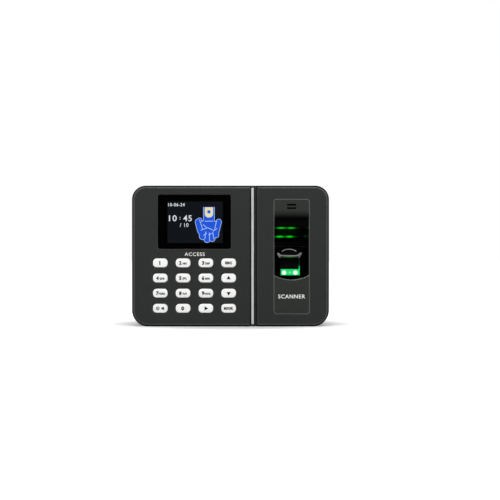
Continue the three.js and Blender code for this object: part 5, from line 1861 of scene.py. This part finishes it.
INTERIOR: dict[str, Finish] = {
    "display_gasket": FOAM, "lcd_panel": CELL_GLASS, "lcd_backlight": TINPLATE, "lcd_carrier": BLACK_NYLON,
    "keypad_mat": SILICONE, "keypad_board": SOLDER_MASK, "sensor_housing": BLACK_NYLON,
    "sensor_board": SOLDER_MASK, "camera_barrel": ANODISED, "led_left": DIODE, "led_right": DIODE,
    "speaker": SPEAKER_CONE, "main_board": SOLDER_MASK, "door_relay": RELAY_BLUE,
    "coin_cell_holder": BLACK_NYLON, "coin_cell": NICKEL, "reset_switch": TINPLATE,
    "tamper_switch": BLACK_NYLON, "lcd_flex": POLYIMIDE, "keypad_flex": POLYIMIDE, "sensor_flex": POLYIMIDE,
}


def dress_interior(nodes: dict[str, Piece]) -> None:
    """Give every node that is still shown a finish of its real material.

    Args:
        nodes: Objects of the frame by node name.
    """
    for name, finish in INTERIOR.items():
        mesh = nodes[name].data
        mesh.materials.clear()
        mesh.materials.append(finish.build())
        LOG.info("%s is finished as %s", name, finish.name)


# ------------------------------------------------------------------ studio


@dataclass
class Studio:
    """Plain studio: a pale floor, a white surround, soft lamps and the camera."""

    middle_mm: float = 62.5
    face_mm: float = -17.2
    distance_mm: float = 450.0
    frame_width_mm: float = 442.2
    sensor_mm: float = 36.0
    shift: tuple[float, float] = (0.039, 0.012)
    mirrored_front: float = 0.03
    sky: tuple[float, float] = (0.14, 0.5)
    paper: str = "d2d2d2"
    shadow_m: tuple[float, float] = (0.02, 0.06)
    shadow_squeeze: float = 0.35
    floor_reach_m: float = 6.0

    def camera(self) -> None:
        """Set the camera square to the face, level with its middle."""
        data = bpy.data.cameras.new("camera")
        data.sensor_width = self.sensor_mm
        data.lens = self.sensor_mm * self.distance_mm / self.frame_width_mm
        data.shift_x, data.shift_y = self.shift
        data.clip_start, data.clip_end = 0.01, 50.0
        holder = bpy.data.objects.new("camera", data)
        holder.location = (0.0, (self.face_mm - self.distance_mm) * MM, self.middle_mm * MM)
        holder.rotation_euler = (math.pi / 2, 0.0, 0.0)
        bpy.context.scene.collection.objects.link(holder)
        bpy.context.scene.camera = holder

    def lamp(self, name: str, place: tuple[float, float, float], size: tuple[float, float],
             power: float) -> None:
        """Hang a soft rectangular lamp that faces the middle of the terminal.

        Args:
            name: Name of the lamp.
            place: Its place in metres.
            size: Width and height in metres.
            power: Power in watts.
        """
        data = bpy.data.lights.new(name, "AREA")
        data.shape = "RECTANGLE"
        data.size, data.size_y = size
        data.energy = power
        lamp = bpy.data.objects.new(name, data)
        lamp.location = place
        aim = Vector((0.0, 0.0, self.middle_mm * MM)) - Vector(place)
        lamp.rotation_euler = aim.to_track_quat("-Z", "Y").to_euler()
        bpy.context.scene.collection.objects.link(lamp)

    def surround(self) -> None:
        """Make the world: white behind the terminal as seen or mirrored, dim in front, soft as a light."""
        world = bpy.data.worlds.new("studio")
        bpy.context.scene.world = world
        world.use_nodes = True
        tree = world.node_tree
        tree.nodes.clear()
        path = add(tree, "LightPath")
        mirrored = maths(tree, "MAXIMUM", path.outputs["Is Glossy Ray"], path.outputs["Is Transmission Ray"])
        heading = add(tree, "TexCoord").outputs["Generated"]
        _, y, z = add(tree, "SeparateXYZ", {0: heading}).outputs
        behind = ramp(tree, y, (-0.75, 0.0), (self.mirrored_front, 1.0), "SMOOTHSTEP")
        above = ramp(tree, z, (-0.3, 0.9), self.sky)
        lit = blend(tree, mirrored, above, behind, "FLOAT")
        strength = blend(tree, path.outputs["Is Camera Ray"], lit, 1.0, "FLOAT")
        back = add(tree, "Background", {"Color": linear("ffffff"), "Strength": strength})
        add(tree, "OutputWorld", {"Surface": back.outputs[0]})

    def floor(self) -> None:
        """Lay a pale floor that shows white and keeps the terminal's shadow, with a painted shadow near it
        where its glow fades out.
        """
        material = bpy.data.materials.new("pale_paper_floor")
        material.use_nodes = True
        tree = material.node_tree
        tree.nodes.clear()
        place = add(tree, "TexCoord").outputs["Object"]
        # The floor's glow to the camera fades out near the terminal: a painted shadow round its foot,
        # squeezed across.
        squeezed = vector(tree, "MULTIPLY", place, (self.shadow_squeeze, 1.0, 0.0))
        lit = ramp(tree, vector(tree, "LENGTH", squeezed), self.shadow_m, kind="SMOOTHSTEP")
        seen = add(tree, "LightPath").outputs["Is Camera Ray"]
        power = maths(tree, "MULTIPLY", lit, seen)
        skin = add(tree, "BsdfPrincipled", {
            "Base Color": linear(self.paper), "Roughness": 0.9, "Specular IOR Level": 0.1,
            "Emission Color": linear("ffffff"), "Emission Strength": power,
        })
        add(tree, "OutputMaterial", {"Surface": skin.outputs[0]})
        reach = self.floor_reach_m
        mesh = bpy.data.meshes.new("floor")
        corners = [(-reach, -reach, 0.0), (reach, -reach, 0.0), (reach, reach, 0.0), (-reach, reach, 0.0)]
        mesh.from_pydata(corners, [], [(0, 1, 2, 3)])
        mesh.materials.append(material)
        floor = bpy.data.objects.new("floor", mesh)
        bpy.context.scene.collection.objects.link(floor)
        floor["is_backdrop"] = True

    def build(self) -> None:
        """Set up camera, floor, surround and lamps."""
        self.camera()
        self.floor()
        self.surround()
        self.lamp("high_key", (0.0, -0.22, 0.42), (0.9, 0.2), 1.9)
        self.lamp("left_fill", (-0.75, -0.4, 0.25), (0.4, 0.6), 2.3)
        self.lamp("right_fill", (0.75, -0.4, 0.25), (0.4, 0.6), 2.1)
        bpy.context.scene.view_settings.view_transform = "Standard"


# ------------------------------------------------------------------ scene


def corners(bounds: tuple[Vector, Vector]) -> list[list[float]]:
    """Turn two corners into plain numbers for a file."""
    return [[round(value, 6) for value in corner] for corner in bounds]


def main() -> None:
    """Build every sub-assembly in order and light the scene."""
    logging.basicConfig(level=logging.INFO, format="%(name)s: %(message)s")
    panel, lens, strip = Box.of("sensor_panel"), Box.of("display_lens"), Box.of("divider_strip")
    keys = {name: Box.of(name) for name in LEGENDS}
    FrontHousing(Box.of("front_housing"), panel, lens, strip, keys).build()
    Divider(strip).build()
    Keypad(keys).build()
    DisplayUnit(lens, panel.y0).build()
    SensorUnit(panel, Box.of("finger_stop"), Box.of("sensor_glass"), Box.of("light_guide")).build()
    sockets = [Box.of(name) for name in ("ethernet_jack", "power_jack", "terminal_block")]
    screws = [Box.of(f"case_screw_{index}") for index in range(1, 5)]
    RearHousing(
        Box.of("rear_housing"), Box.of("wall_plate"), Box.of("usb_port"), Box.of("lock_screw"),
        Box.of("tamper_plunger"), Box.of("reset_button"), sockets, screws,
    ).build()
    Bracket(Box.of("wall_plate")).build()
    build_sockets()
    build_screws_and_buttons()
    dress_interior(frame["nodes"])
    Studio().build()
    {"cad": corners(CAD_BOUNDS), "visual": corners(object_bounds())}


if __name__ == "__main__":
    main()
